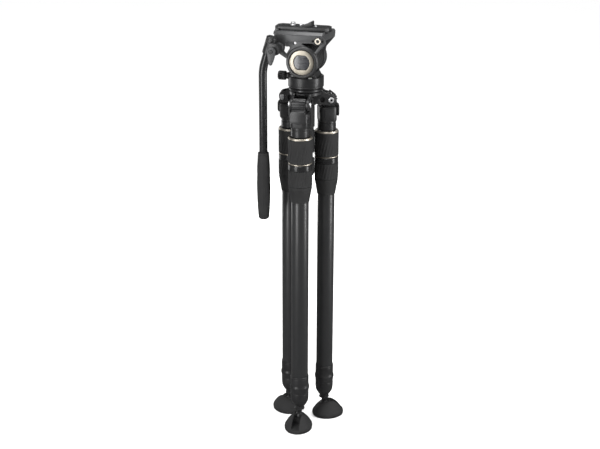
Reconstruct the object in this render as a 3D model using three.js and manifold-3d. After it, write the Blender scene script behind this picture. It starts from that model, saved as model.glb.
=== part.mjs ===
// Video tripod with a fluid pan-and-tilt head, legs folded together.
// Millimetres, +Z up. +X is the way a lens would look, the tilt axis runs along Y.
// Heights are measured from the floor and radii from the tripod's centre line.
import * as THREE from 'three';
import { mergeVertices } from 'three/addons/utils/BufferGeometryUtils.js';
import Module from 'manifold-3d';

const wasm = await Module();
wasm.setup();

// ---------------------------------------------------------------- driving dimensions
const GAP = 0.3; // air between neighbouring solids
const ROUND = 16; // facets on a large round piece
const SMALL_ROUND = 10; // facets on a small round piece

const LEG_RING = 44.4; // centre line to each folded leg's own axis
const PIVOT_RADIUS = 47;
const PIVOT_Z = 721.4;
const BOLT_R = 4.7;

const TOP_TUBE = { outer: 12, inner: 10.5, low: 110, high: 697 };
const MIDDLE_TUBE = { outer: 15, inner: 12.8, low: 115, high: 648 };
const LOWER_TUBE = { outer: 18, inner: 15.8, low: 100, high: 560 };

const NECK = { r: 19, low: 656.2, high: 677 };
const SHOULDER = { width: 38, depth: 36, high: 706, tongue: 27, tongueR: 11 };

const LOCK_R = 24.8; // twist sleeves
const UPPER_LOCK = { low: 602.7, high: 655.6 };
const TRIM_RING = { low: 599.3, high: 602.3, r: 24.2 };
const LOWER_LOCK = { low: 553.5, band: 587, high: 599 };
const CONE = { low: 518.7, high: 553.2, lowR: 19.4, highR: 24.4 };

const SOCKET = { high: 123.3, shelf: 99.6, bulge: 97, waist: 74.5, low: 54.5 };
const STUD = { nutHigh: 54.1, nutLow: 44.5, nutR: 11, shaftR: 4, shaftHigh: 80, neckR: 5.6 };
const BALL = { r: 10.5, z: 24 };
const FOOT = { length: 70, width: 60, offset: 9, slot: 17.6, slotBack: 13, slotFloor: 9.5, mouthHigh: 42 };

const HUB = { coreR: 21, discR: 33, low: 712, discLow: 731, high: 740.7, cheekIn: 14, cheekOut: 19.5 };
const TIE_DOWN = { r: 18, low: 560, high: 711.7, studR: 4, studHigh: 745.5 };

const BASE = { r: 35, low: 741, high: 748.7, spindleR: 10, spindleHigh: 764 };
const HOUSING = { r: 36, low: 749, ledge: 771.3, topHalf: 22, top: 780, topWidth: 22, crownFoot: 27 };

const TILT_Z = 803.6;
const DRUM = { r: 30, half: 26.2, axleR: 8 };
const SIDE = { inner: 27, outer: 33, top: 857, discR: 32 };
const CAP = { inner: 33.3, floor: 35, outer: 37.5, r: 32, rimIn: 25.3, dialR: 33.2, dialOuter: 43 };
const BADGE_RING = { outer: 24.8, opening: 17, flat: 14.6, high: 38.2 };

const CLAMP = { rear: -59, front: 52, nearFront: 40, low: 846, shelf: 857.3, top: 863, half: 33, chamfer: 26.5 };
const PLATE = { rear: -61, front: 49, half: 19, low: 863.4, high: 870, dovetailLow: 859.6 };

const ROSETTE = { x: -47.5, z: 831, r: 10.5, face: 40 };
const BAR = { r: 8.3, x: -74, y: -56, bendZ: 792, lean: 17, topZ: 857, gripHigh: 620, gripLow: 478 };
const LEVER = { x: -51.4, z: 830.4, r: 8.4, lowZ: 803, inner: 70, outer: 76 };

const LEGS = [
  { name: 'front', azimuth: -90 },
  { name: 'right', azimuth: 30 },
  { name: 'left', azimuth: 150 },
];

// ---------------------------------------------------------------- materials
const finish = (color, roughness, metalness) => () => new THREE.MeshStandardMaterial({ color, roughness, metalness });
const BLACK_METAL = finish(0x1d1d1e, 0.45, 0.6);
const GREY_METAL = finish(0x3a3b3d, 0.42, 0.6);
const CARBON = finish(0x232425, 0.38, 0.1);
const RUBBER = finish(0x161617, 0.85, 0);
const GOLD = finish(0xbfae90, 0.3, 0.9);
const STEEL = finish(0xb9bbbd, 0.3, 0.95);
const GLOSS = finish(0x141518, 0.12, 0.1);
const GLASS = finish(0xb8c98a, 0.1, 0);

// ---------------------------------------------------------------- geometry helpers
const object = new THREE.Group();
const toRadians = THREE.MathUtils.degToRad;

function signedVolume(points, index) {
  const a = new THREE.Vector3();
  const b = new THREE.Vector3();
  const c = new THREE.Vector3();
  let total = 0;
  for (let i = 0; i < index.length; i += 3) {
    a.fromBufferAttribute(points, index[i]);
    b.fromBufferAttribute(points, index[i + 1]);
    c.fromBufferAttribute(points, index[i + 2]);
    total += a.dot(b.cross(c)) / 6;
  }
  return total;
}

// One closed skin: shared corners merged, slivers on the axis dropped, faces turned outwards.
function closed(geometry) {
  geometry.deleteAttribute('normal');
  geometry.deleteAttribute('uv');
  const merged = mergeVertices(geometry, 1e-3);
  const kept = [];
  const index = merged.index.array;
  for (let i = 0; i < index.length; i += 3) {
    const [a, b, c] = [index[i], index[i + 1], index[i + 2]];
    if (a !== b && b !== c && c !== a) {
      kept.push(a, b, c);
    }
  }
  if (signedVolume(merged.attributes.position, kept) < 0) {
    kept.reverse();
  }
  merged.setIndex(kept);
  return merged;
}

function toManifold(geometry) {
  return new wasm.Manifold(new wasm.Mesh({
    numProp: 3,
    vertProperties: new Float32Array(geometry.attributes.position.array),
    triVerts: new Uint32Array(geometry.index.array),
  }));
}

function fromManifold(solid) {
  const mesh = solid.getMesh();
  const geometry = new THREE.BufferGeometry();
  geometry.setAttribute('position', new THREE.BufferAttribute(new Float32Array(mesh.vertProperties), 3));
  geometry.setIndex(Array.from(mesh.triVerts));
  return geometry;
}

function join(first, ...others) {
  return fromManifold(others.reduce((sum, other) => sum.add(toManifold(other)), toManifold(first)));
}

function cut(first, ...tools) {
  return fromManifold(tools.reduce((rest, tool) => rest.subtract(toManifold(tool)), toManifold(first)));
}

function overlap(first, second) {
  return fromManifold(toManifold(first).intersect(toManifold(second)));
}

// A turned piece about +Z from [radius, height] pairs.
function turned(profile, facets = ROUND) {
  const points = profile.map(([r, z]) => new THREE.Vector2(r, z));
  return closed(new THREE.LatheGeometry(points, facets)).rotateX(Math.PI / 2);
}

// A turned hollow piece: the profile closes on itself.
function hollow(profile, facets = ROUND) {
  return turned([...profile, profile[0]], facets);
}

// A turned piece about -Y: the heights of the profile become distances out along -Y.
function turnedAlongMinusY(profile, facets = ROUND) {
  return turned(profile, facets).rotateX(Math.PI / 2);
}

function block(x0, x1, y0, y1, z0, z1) {
  const box = closed(new THREE.BoxGeometry(x1 - x0, y1 - y0, z1 - z0));
  return box.translate((x0 + x1) / 2, (y0 + y1) / 2, (z0 + z1) / 2);
}

function rod(r, x0, x1, y, z, facets = SMALL_ROUND) {
  const bar = closed(new THREE.CylinderGeometry(r, r, x1 - x0, facets));
  return bar.rotateZ(Math.PI / 2).translate((x0 + x1) / 2, y, z);
}

function crossRod(r, x, y0, y1, z, facets = SMALL_ROUND) {
  return closed(new THREE.CylinderGeometry(r, r, y1 - y0, facets)).translate(x, (y0 + y1) / 2, z);
}

function pillar(r, x, y, z0, z1, facets = ROUND) {
  return closed(new THREE.CylinderGeometry(r, r, z1 - z0, facets)).rotateX(Math.PI / 2).translate(x, y, (z0 + z1) / 2);
}

// An outline in X and Z, given a thickness from y0 to y1.
function slab(shape, y0, y1, curveSegments = 8) {
  const plate = closed(new THREE.ExtrudeGeometry(shape, { depth: y1 - y0, bevelEnabled: false, curveSegments }));
  return plate.rotateX(Math.PI / 2).translate(0, y1, 0);
}

// An outline in X and Y, given a height from z0 to z1.
function prism(shape, z0, z1, curveSegments = 6) {
  const solid = closed(new THREE.ExtrudeGeometry(shape, { depth: z1 - z0, bevelEnabled: false, curveSegments }));
  return solid.translate(0, 0, z0);
}

function polygon(points) {
  return new THREE.Shape(points.map(([x, z]) => new THREE.Vector2(x, z)));
}

function circle(x, z, r) {
  const shape = new THREE.Shape();
  shape.absarc(x, z, r, 0, 2 * Math.PI, false);
  return shape;
}

function roundedRectangle(width, height, r) {
  const [w, h] = [width / 2 - r, height / 2 - r];
  const shape = new THREE.Shape();
  shape.absarc(w, h, r, 0, Math.PI / 2, false);
  shape.absarc(-w, h, r, Math.PI / 2, Math.PI, false);
  shape.absarc(-w, -h, r, Math.PI, 1.5 * Math.PI, false);
  shape.absarc(w, -h, r, 1.5 * Math.PI, 2 * Math.PI, false);
  return shape;
}

function addPiece(parent, name, geometry, material) {
  const mesh = new THREE.Mesh(geometry, material());
  mesh.name = name;
  parent.add(mesh);
}

// ---------------------------------------------------------------- leg pieces, about the leg's own axis
// X points outwards from the tripod's centre line and Y along the pivot bolt.
const PIVOT_X = PIVOT_RADIUS - LEG_RING;

function shoulder() {
  const depth = SHOULDER.depth;
  const body = prism(roundedRectangle(depth, SHOULDER.width, 11), NECK.high - 0.5, SHOULDER.high);
  const neck = pillar(NECK.r, 0, 0, NECK.low, NECK.high);
  const half = SHOULDER.tongue / 2;
  const tongueShape = new THREE.Shape();
  tongueShape.moveTo(PIVOT_X - SHOULDER.tongueR, SHOULDER.high - 4);
  tongueShape.lineTo(PIVOT_X + SHOULDER.tongueR, SHOULDER.high - 4);
  tongueShape.absarc(PIVOT_X, PIVOT_Z, SHOULDER.tongueR, 0, Math.PI, false);
  const tongue = slab(tongueShape, -half, half);
  const tubeHole = pillar(TOP_TUBE.outer + GAP, 0, 0, NECK.low - 1, TOP_TUBE.high + GAP);
  const boltHole = crossRod(BOLT_R + GAP, PIVOT_X, -half - 1, half + 1, PIVOT_Z);
  const tabGuide = rod(2.8, PIVOT_X, depth, 0, SHOULDER.high - 3);
  return cut(join(body, neck, tongue), tubeHole, boltHole, tabGuide);
}

function pivotBolt() {
  const cheek = HUB.cheekOut + GAP;
  const headR = 6.6;
  const bolt = turned([
    [0, -cheek - 2.6], [5.2, -cheek - 2.6], [6, -cheek - 1.8], [6, -cheek], [BOLT_R, -cheek],
    [BOLT_R, cheek], [headR, cheek], [headR, cheek + 2.6], [headR - 1, cheek + 3.6], [0, cheek + 3.6],
  ], SMALL_ROUND);
  const socket = pillar(3, 0, 0, cheek + 1.2, cheek + 5, 6);
  return cut(bolt, socket).rotateX(Math.PI / 2).translate(PIVOT_X, 0, PIVOT_Z);
}

// A thumb tab: ribbed where it wraps round the pivot, a smooth wider pad below, and a guide pin that runs
// into the shoulder.
function angleTab() {
  const low = 686;
  const top = 711.5;
  const ribs = 5;
  const pitch = 20;
  const about = (angle, r) => [PIVOT_X + r * Math.cos(toRadians(angle)), PIVOT_Z + r * Math.sin(toRadians(angle))];
  const ribbed = [[14.2, SHOULDER.high + GAP + 0.1], [20, SHOULDER.high + GAP + 0.1], [20, top - 1]];
  for (let i = 0; i < ribs; i += 1) {
    const angle = i * pitch - 26;
    ribbed.push(about(angle, 14.2), about(angle + 4, 15.6), about(angle + 12, 15.6), about(angle + 16, 14.2));
  }
  ribbed.push(about(70, 12.3), about(50, 12.3), about(30, 12.3), about(10, 12.3), about(-10, 12.3));
  const pad = polygon([[18.3, low + 1.6], [19.6, low], [20.6, low], [21.8, low + 2], [21.8, top - 2.6], [20.4, top],
    [18.3, top]]);
  const pin = rod(2.4, PIVOT_X + 2, 19.5, 0, SHOULDER.high - 3, 8);
  return join(slab(polygon(ribbed), -13.3, 13.3), slab(pad, -16.5, 16.5), pin);
}

function tube({ outer, inner, low, high }) {
  return hollow([[inner, low], [outer, low], [outer, high], [inner, high]]);
}

// The middle tube carries the thread of the upper lock and the thin trim ring under it.
function middleTube() {
  const { outer, inner, low, high } = MIDDLE_TUBE;
  return hollow([
    [inner, low], [outer, low], [outer, TRIM_RING.low], [TRIM_RING.r, TRIM_RING.low],
    [TRIM_RING.r, TRIM_RING.high], [19.5, TRIM_RING.high], [19.5, high], [inner, high],
  ]);
}

function upperLockRing() {
  const { low, high } = UPPER_LOCK;
  return hollow([
    [19.9, low], [LOCK_R - 0.6, low], [LOCK_R, low + 0.8], [LOCK_R, high - 3.6], [LOCK_R - 2.6, high],
    [13, high], [13, MIDDLE_TUBE.high + GAP], [19.9, MIDDLE_TUBE.high + GAP],
  ]);
}

function lowerLockRing() {
  const { low, band, high } = LOWER_LOCK;
  return hollow([
    [20.4, low], [LOCK_R, low], [LOCK_R, band], [LOCK_R - 0.6, band + 0.6], [LOCK_R - 0.6, high - 0.6],
    [LOCK_R - 1.2, high], [15.4, high], [15.4, high - 2.7], [20.4, high - 2.7],
  ]);
}

function lowerCollar() {
  const { low, high, lowR, highR } = CONE;
  const bush = MIDDLE_TUBE.outer + 0.4;
  const seat = LOWER_TUBE.outer + GAP;
  return hollow([
    [seat, low], [lowR, low], [lowR + 0.6, low + 4], [highR, high - 6], [highR, high], [20, high],
    [20, LOWER_LOCK.high - 3], [bush, LOWER_LOCK.high - 3], [bush, LOWER_TUBE.high + GAP],
    [seat, LOWER_TUBE.high + GAP],
  ]);
}

function endSocket() {
  const { high, shelf, bulge, waist, low } = SOCKET;
  return hollow([
    [STUD.shaftR + GAP, low], [12.7, low], [15.6, low + 5.5], [19.4, waist], [19.6, bulge - 9], [20.8, bulge],
    [19.5, bulge + 5], [19.5, high],
    [LOWER_TUBE.outer + GAP, high], [LOWER_TUBE.outer + GAP, shelf], [STUD.shaftR + GAP, shelf],
  ]);
}

function ballStud() {
  const { nutHigh, nutLow, nutR, shaftR, shaftHigh, neckR } = STUD;
  const ball = [];
  const steps = 6;
  const neckAngle = Math.asin(4.6 / BALL.r);
  for (let i = 0; i <= steps; i += 1) {
    const angle = Math.PI - (i / steps) * (Math.PI - neckAngle);
    ball.push([BALL.r * Math.sin(angle), BALL.z + BALL.r * Math.cos(angle)]);
  }
  ball[0][0] = 0;
  return turned([
    ...ball, [neckR, nutLow - 5], [neckR, nutLow], [nutR - 1.5, nutLow], [nutR, nutLow + 1.5], [nutR, nutHigh - 2],
    [nutR - 1.5, nutHigh], [shaftR, nutHigh], [shaftR, shaftHigh], [0, shaftHigh],
  ], SMALL_ROUND);
}

// A rubber foot, conical above its rim and longer outwards, with a ball cup and a slot for the stud's neck.
function foot() {
  const { length, width, offset, slot, slotBack, slotFloor, mouthHigh } = FOOT;
  const rim = width / 2;
  const cone = turned([
    [0, 0], [rim - 3, 0], [rim - 0.6, 3], [rim, 7], [rim - 1.6, 12], [24, 20], [18.4, 27.5], [12, 34], [0, 36.5],
  ]).scale(length / width, 1, 1).translate(offset, 0, 0);
  const cup = closed(new THREE.SphereGeometry(BALL.r + 0.9, 12, 8)).rotateX(Math.PI / 2).translate(0, 0, BALL.z);
  const mouth = turned([[0, BALL.z], [3.5, BALL.z], [17, mouthHigh], [0, mouthHigh]], SMALL_ROUND);
  const neckSlot = block(0, slotBack + 3, -6.4, 6.4, BALL.z, mouthHigh);
  const recess = block(slotBack, length, -slot / 2, slot / 2, slotFloor, mouthHigh);
  return cut(cone, cup, mouth, neckSlot, recess);
}

for (const { name, azimuth } of LEGS) {
  const leg = new THREE.Group();
  leg.rotation.z = toRadians(azimuth);
  leg.position.set(LEG_RING * Math.cos(leg.rotation.z), LEG_RING * Math.sin(leg.rotation.z), 0);
  const add = (piece, geometry, material) => addPiece(leg, `${name}_${piece}`, geometry, material);
  add('shoulder', shoulder(), BLACK_METAL);
  add('pivot_bolt', pivotBolt(), STEEL);
  add('angle_tab', angleTab(), BLACK_METAL);
  add('top_tube', tube(TOP_TUBE), CARBON);
  add('middle_tube', middleTube(), GOLD);
  add('upper_lock_ring', upperLockRing(), RUBBER);
  add('lower_lock_ring', lowerLockRing(), RUBBER);
  add('lower_collar', lowerCollar(), BLACK_METAL);
  add('lower_tube', tube(LOWER_TUBE), CARBON);
  add('end_socket', endSocket(), BLACK_METAL);
  add('ball_stud', ballStud(), BLACK_METAL);
  add('foot', foot(), RUBBER);
  object.add(leg);
}

// ---------------------------------------------------------------- hub and tie-down handle
// One cheek plate of a hub arm, outlined in radius and height.
function cheekOutline() {
  const endR = 12;
  const shape = new THREE.Shape();
  shape.moveTo(10, HUB.high);
  shape.lineTo(10, 716);
  shape.lineTo(22, 714);
  shape.lineTo(PIVOT_RADIUS - 8, PIVOT_Z - 10.5);
  shape.absarc(PIVOT_RADIUS, PIVOT_Z, endR, toRadians(-120), toRadians(105), false);
  shape.lineTo(HUB.discR + 3, HUB.high - 3);
  shape.lineTo(HUB.discR - 1, HUB.high);
  const window = new THREE.Path();
  window.absellipse(28.6, 722.4, 5.2, 5.8, 0, 2 * Math.PI, true, 0);
  shape.holes.push(window);
  return shape;
}

function hub() {
  const arms = [];
  for (const { azimuth } of LEGS) {
    for (const side of [-1, 1]) {
      const [a, b] = [side * HUB.cheekIn, side * HUB.cheekOut];
      const cheek = slab(cheekOutline(), Math.min(a, b), Math.max(a, b), 4);
      const bore = crossRod(BOLT_R + GAP, PIVOT_RADIUS, -30, 30, PIVOT_Z);
      arms.push(cut(cheek, bore).rotateZ(toRadians(azimuth)));
    }
  }
  const core = pillar(HUB.coreR, 0, 0, HUB.low, HUB.discLow + 1);
  const disc = turned([[0, HUB.discLow], [HUB.discR - 3, HUB.discLow], [HUB.discR, HUB.discLow + 3],
    [HUB.discR, HUB.high], [0, HUB.high]]);
  const studHole = pillar(TIE_DOWN.studR + GAP, 0, 0, HUB.low - 5, HUB.high + 5, SMALL_ROUND);
  return cut(join(disc, core, ...arms), studHole);
}

function tieDownHandle() {
  const { r, low, high, studR, studHigh } = TIE_DOWN;
  const grooveR = 14.6;
  return turned([
    [0, low], [r - 5, low], [r - 1, low + 3.5], [r, low + 8], [r, 598], [grooveR, 599.5], [grooveR, 609.5], [r, 611],
    [r, 657], [grooveR + 1.5, 658.5], [grooveR + 1.5, 664], [r, 665.5], [r, high - 4], [r - 2, high],
    [studR, high], [studR, studHigh], [0, studHigh],
  ]);
}

function levellingBase() {
  const { r, low, high, spindleR, spindleHigh } = BASE;
  const bore = TIE_DOWN.studR + GAP;
  const roof = TIE_DOWN.studHigh + GAP;
  return turned([
    [0, roof], [bore, roof], [bore, low], [r - 3, low], [r, low + 2], [r, low + 5], [r - 2, high],
    [spindleR, high], [spindleR, spindleHigh], [0, spindleHigh],
  ]);
}

addPiece(object, 'hub', hub(), BLACK_METAL);
addPiece(object, 'tie_down_handle', tieDownHandle(), RUBBER);
addPiece(object, 'levelling_base', levellingBase(), BLACK_METAL);

// ---------------------------------------------------------------- pan housing, its knobs and the level
const PAN_KNOB = { z: 768, r: 9, near: 40, far: 58.6, shaftR: 2.5 };
const TILT_KNOB = { z: 759, azimuth: 118 };
const LEVEL = { x: 15, y: -27, r: 3.3, low: 768.8, high: 772.3 };

function panHousing() {
  const { r, low, ledge, topHalf, top, topWidth, crownFoot } = HOUSING;
  const barrel = turned([[0, low], [r - 1, low], [r, low + 1], [r, ledge - 0.8], [r - 0.8, ledge], [0, ledge]]);
  const crownShape = polygon([[-crownFoot, ledge - 2], [crownFoot, ledge - 2], [crownFoot, ledge], [topWidth, top],
    [-topWidth, top], [-crownFoot, ledge]]);
  const crown = overlap(slab(crownShape, -topHalf, topHalf), pillar(r - 0.2, 0, 0, low, top + 5));
  const saddle = crossRod(DRUM.r + GAP, 0, -50, 50, TILT_Z, 40);
  const spindleHole = pillar(BASE.spindleR + GAP, 0, 0, low - 1, BASE.spindleHigh + GAP);
  const panScrewHole = rod(PAN_KNOB.shaftR + GAP, -50, -24, 0, PAN_KNOB.z, 12);
  const tiltScrewHole = rod(PAN_KNOB.shaftR + GAP, 24, 50, 0, TILT_KNOB.z, 12).rotateZ(toRadians(TILT_KNOB.azimuth));
  const levelPocket = pillar(LEVEL.r + GAP, LEVEL.x, LEVEL.y, LEVEL.low - GAP, ledge + 3, SMALL_ROUND);
  return cut(join(barrel, crown), saddle, spindleHole, panScrewHole, tiltScrewHole, levelPocket);
}

// A fluted clamping knob with its screw, about +X: the screw's tip is at x = 25.
function clampKnob(z) {
  const { r, near, far, shaftR } = PAN_KNOB;
  const flutes = 10;
  const head = turned([
    [0, 25], [shaftR, 25], [shaftR, near], [5.5, near], [5.5, near + 2], [r, near + 3], [r, far - 2], [r - 2, far], [0, far],
  ], 20);
  const grooves = [];
  for (let i = 0; i < flutes; i += 1) {
    const angle = (i / flutes) * 2 * Math.PI;
    grooves.push(pillar(1.1, (r + 0.4) * Math.cos(angle), (r + 0.4) * Math.sin(angle), near + 1, far + 1, 4));
  }
  return cut(head, ...grooves).rotateY(Math.PI / 2).translate(0, 0, z);
}

const level = pillar(LEVEL.r, LEVEL.x, LEVEL.y, LEVEL.low, LEVEL.high, SMALL_ROUND);
addPiece(object, 'pan_housing', panHousing(), BLACK_METAL);
addPiece(object, 'pan_lock_knob', clampKnob(PAN_KNOB.z).rotateZ(Math.PI), BLACK_METAL);
addPiece(object, 'tilt_lock_knob', clampKnob(TILT_KNOB.z).rotateZ(toRadians(TILT_KNOB.azimuth)), BLACK_METAL);
addPiece(object, 'bubble_level', level, GLASS);

// ---------------------------------------------------------------- tilt drum, side plates and caps
function tiltDrum() {
  const { r, half, axleR } = DRUM;
  const axleEnd = SIDE.outer;
  return turnedAlongMinusY([
    [0, -axleEnd], [axleR, -axleEnd], [axleR, -half], [r - 1.5, -half], [r, -half + 1.5], [r, half - 1.5],
    [r - 1.5, half], [axleR, half], [axleR, axleEnd], [0, axleEnd],
  ]).translate(0, 0, TILT_Z);
}

// The near side plate: a web under the clamp, a disc round the tilt axis, two struts between them.
function nearPlateOutline() {
  const shape = polygon([
    [-57, SIDE.top], [-58, 838], [-54, 824], [-46, 818], [-30, 808], [-20, 790], [20, 790], [30, 815], [28, 820],
    [47.6, 842], [46.8, 848], [39.5, SIDE.top],
  ]);
  const rearWindow = polygon([[-36, 841], [-24.5, 832], [-32.4, 818.6], [-37.5, 823.5], [-36, 830]]);
  const frontWindow = polygon([[-2, 841.4], [18, 842], [36, 841], [24, 827], [19, 831.4], [11, 836]]);
  shape.holes.push(rearWindow, frontWindow, circle(-14.8, 841, 3));
  return shape;
}

// The far side plate runs further forward and has a long slot in its front strut.
function farPlateOutline() {
  const shape = polygon([
    [-57, SIDE.top], [-58, 840], [-54, 829], [-46, 823], [-30, 811], [-20, 793], [20, 790], [31, 811], [34, 826],
    [51, 846], [52, SIDE.top],
  ]);
  const rearWindow = polygon([[-36, 841], [-24.5, 832], [-31, 824], [-36.5, 828], [-36, 831]]);
  const frontWindow = polygon([[1, 841], [33, 841], [24, 830], [13.5, 836.6], [2, 840.2]]);
  const slot = polygon([[34.5, 845.5], [38, 843.5], [47, 850.5], [47, 854], [44, 854]]);
  shape.holes.push(rearWindow, frontWindow, slot);
  return shape;
}

function sidePlate(outline, side) {
  const near = side < 0;
  const span = (a, b) => [Math.min(side * a, side * b), Math.max(side * a, side * b)];
  const plate = slab(outline, ...span(SIDE.inner, SIDE.outer));
  const disc = crossRod(SIDE.discR, 0, ...span(SIDE.inner, SIDE.outer), TILT_Z, 28);
  const boss = crossRod(ROSETTE.r, ROSETTE.x, ...span(SIDE.inner, near ? ROSETTE.face : 36), ROSETTE.z, 20);
  const bore = crossRod(DRUM.axleR + GAP, 0, -60, 60, TILT_Z, ROUND);
  return cut(join(plate, disc, boss), bore);
}

const ACCESSORY = { x: 31.9, z: 847.2, r: 6, threadR: 3.2, pinOffset: 9.4, pinR: 1.6, padHalf: 12.6, padHeight: 8 };

// An eye-shaped pad round the accessory thread, with a locating hole at each corner.
function accessoryPad() {
  const { x, z, padHalf, padHeight } = ACCESSORY;
  const shape = new THREE.Shape();
  shape.moveTo(x - padHalf, z);
  shape.quadraticCurveTo(x - 5, z - padHeight, x, z - padHeight);
  shape.quadraticCurveTo(x + 5, z - padHeight, x + padHalf, z);
  shape.quadraticCurveTo(x + 5, z + padHeight, x, z + padHeight);
  shape.quadraticCurveTo(x - 5, z + padHeight, x - padHalf, z);
  return slab(shape, -SIDE.outer - 1, -SIDE.outer + 1, 5);
}

function frontSidePlate() {
  const { x, z, r, pinOffset, pinR } = ACCESSORY;
  const plate = join(sidePlate(nearPlateOutline(), -1), accessoryPad());
  const insertHole = crossRod(r + GAP, x, -50, -10, z, 20);
  const pins = [-1, 1].map((side) => crossRod(pinR, x + side * pinOffset, -50, -30, z, 8));
  return cut(plate, insertHole, ...pins);
}

const PLATE_KNOB = { x: -22, z: 850.5, r: 8.5, shaftR: 4, far: 46 };

function rearSidePlate() {
  const shaftHole = crossRod(PLATE_KNOB.shaftR + GAP, PLATE_KNOB.x, 10, 60, PLATE_KNOB.z, SMALL_ROUND);
  return cut(sidePlate(farPlateOutline(), 1), shaftHole);
}

function frontCap() {
  const { inner, floor, outer, r, rimIn } = CAP;
  return turnedAlongMinusY([
    [0, inner], [r - 0.5, inner], [r, inner + 0.5], [r, outer - 2.2], [r - 2, outer], [rimIn + 1.5, outer],
    [rimIn, outer - 1], [rimIn, floor], [0, floor],
  ], 28).translate(0, 0, TILT_Z);
}

// The far cap is a wide dial that sets the counterbalance.
function rearCap() {
  const { inner, r, dialR, dialOuter } = CAP;
  return turnedAlongMinusY([
    [0, -dialOuter], [dialR - 8, -dialOuter], [dialR - 1.4, -dialOuter + 1.2], [dialR, -dialOuter + 3], [dialR, -37.4],
    [r - 0.2, -36.9], [r - 0.2, -inner], [0, -inner],
  ], 28).translate(0, 0, TILT_Z);
}

// A disc whose top and bottom are clipped flat.
function clippedCircle(r, flat, path) {
  const corner = Math.asin(flat / r);
  path.absarc(0, TILT_Z, r, -corner, corner, false);
  path.absarc(0, TILT_Z, r, Math.PI - corner, Math.PI + corner, false);
  path.closePath();
  return path;
}

function frontGoldRing() {
  const shape = circle(0, TILT_Z, BADGE_RING.outer);
  shape.holes.push(clippedCircle(BADGE_RING.opening, BADGE_RING.flat, new THREE.Path()));
  return slab(shape, -BADGE_RING.high, -CAP.floor - GAP, 12);
}

function frontBadge() {
  const shape = clippedCircle(BADGE_RING.opening - GAP, BADGE_RING.flat - GAP, new THREE.Shape());
  return slab(shape, -CAP.floor - 1.6, -CAP.floor - GAP, 6);
}

addPiece(object, 'tilt_drum', tiltDrum(), GREY_METAL);
addPiece(object, 'front_side_plate', frontSidePlate(), GREY_METAL);
addPiece(object, 'rear_side_plate', rearSidePlate(), GREY_METAL);
addPiece(object, 'front_cap', frontCap(), BLACK_METAL);
addPiece(object, 'rear_cap', rearCap(), BLACK_METAL);
addPiece(object, 'front_gold_ring', frontGoldRing(), GOLD);
addPiece(object, 'front_badge', frontBadge(), GLOSS);

// ---------------------------------------------------------------- plate clamp, camera plate and its fittings
function clampBody() {
  const { rear, front, nearFront, low, shelf, top, half, chamfer } = CLAMP;
  const inside = SIDE.inner - GAP;
  const channelTop = 15.4;
  const channelLow = 18;
  const floor = PLATE.dovetailLow - 0.4;
  const section = polygon([
    [-inside, low], [inside, low], [inside, shelf], [half, shelf], [chamfer, top], [channelTop, top],
    [channelLow, floor], [-channelLow, floor], [-channelTop, top], [-chamfer, top], [-half, shelf], [-inside, shelf],
  ]);
  const body = closed(new THREE.ExtrudeGeometry(section, { depth: front - rear, bevelEnabled: false }));
  body.rotateX(Math.PI / 2).rotateZ(Math.PI / 2).translate(rear, 0, 0);
  const corner = prism(polygon([[nearFront, -half - 1], [front + 1, -half - 1], [front + 1, half]]), low - 5, top + 5);
  const shaftHole = crossRod(PLATE_KNOB.shaftR + GAP, PLATE_KNOB.x, 12, 60, PLATE_KNOB.z, SMALL_ROUND);
  return cut(body, corner, shaftHole);
}

const SCREW = { x: -27, r: 4.7, headR: 8, high: 877 };
const PAD = { rear: -54, front: -9, near: 7, far: 16.4, high: 870.5 };

function cameraPlate() {
  const { rear, front, half, low, high, dovetailLow } = PLATE;
  const section = polygon([[-17.6, dovetailLow], [17.6, dovetailLow], [15, low], [half, low], [half, high],
    [-half, high], [-half, low], [-15, low]]);
  const body = closed(new THREE.ExtrudeGeometry(section, { depth: front - rear, bevelEnabled: false }));
  body.rotateX(Math.PI / 2).rotateZ(Math.PI / 2).translate(rear, 0, 0);
  const corner = 5;
  const outline = polygon([
    [rear, -half + corner], [rear + corner, -half - 0.1], [front - corner, -half - 0.1], [front, -half + corner],
    [front, half - corner], [front - corner, half + 0.1], [rear + corner, half + 0.1], [rear, half - corner],
  ]);
  const screwHole = pillar(SCREW.r + GAP, SCREW.x, 0, dovetailLow - 1, high + 1, SMALL_ROUND);
  const headPocket = pillar(SCREW.headR + GAP, SCREW.x, 0, dovetailLow - 1, low + 1, 20);
  const pads = [block(PAD.rear, PAD.front, PAD.near, PAD.far, high - 1, PAD.high),
    block(PAD.rear, PAD.front, -PAD.far, -PAD.near, high - 1, PAD.high)];
  const plate = overlap(body, prism(outline, dovetailLow - 1, high + 1));
  return cut(join(plate, ...pads), screwHole, headPocket);
}

function cameraScrew() {
  const { x, r, headR, high } = SCREW;
  const low = PLATE.dovetailLow + 0.2;
  return turned([
    [0, low], [headR - 0.6, low], [headR, low + 0.6], [headR, PLATE.low + 0.6], [r, PLATE.low + 0.6],
    [r, high - 0.8], [r - 0.8, high], [0, high],
  ], 20).translate(x, 0, 0);
}

// A wedge that keeps the camera from turning on its screw.
function cameraStop() {
  const low = PLATE.high + GAP;
  return slab(polygon([[-6, low], [14, low], [14, low + 9.2], [12.4, low + 9.9], [10, low + 9.2], [2, low + 4.2],
    [-6, low + 1.6]]), -9, 9);
}

function plateLockKnob() {
  const { x, z, r, shaftR, far } = PLATE_KNOB;
  const near = SIDE.outer + GAP;
  return turnedAlongMinusY([
    [0, 16], [shaftR, 16], [shaftR, near], [r - 1.5, near], [r, near + 1.5], [r, far - 2], [r - 2, far], [0, far],
  ], 20).rotateZ(Math.PI).translate(x, 0, z);
}

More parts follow.
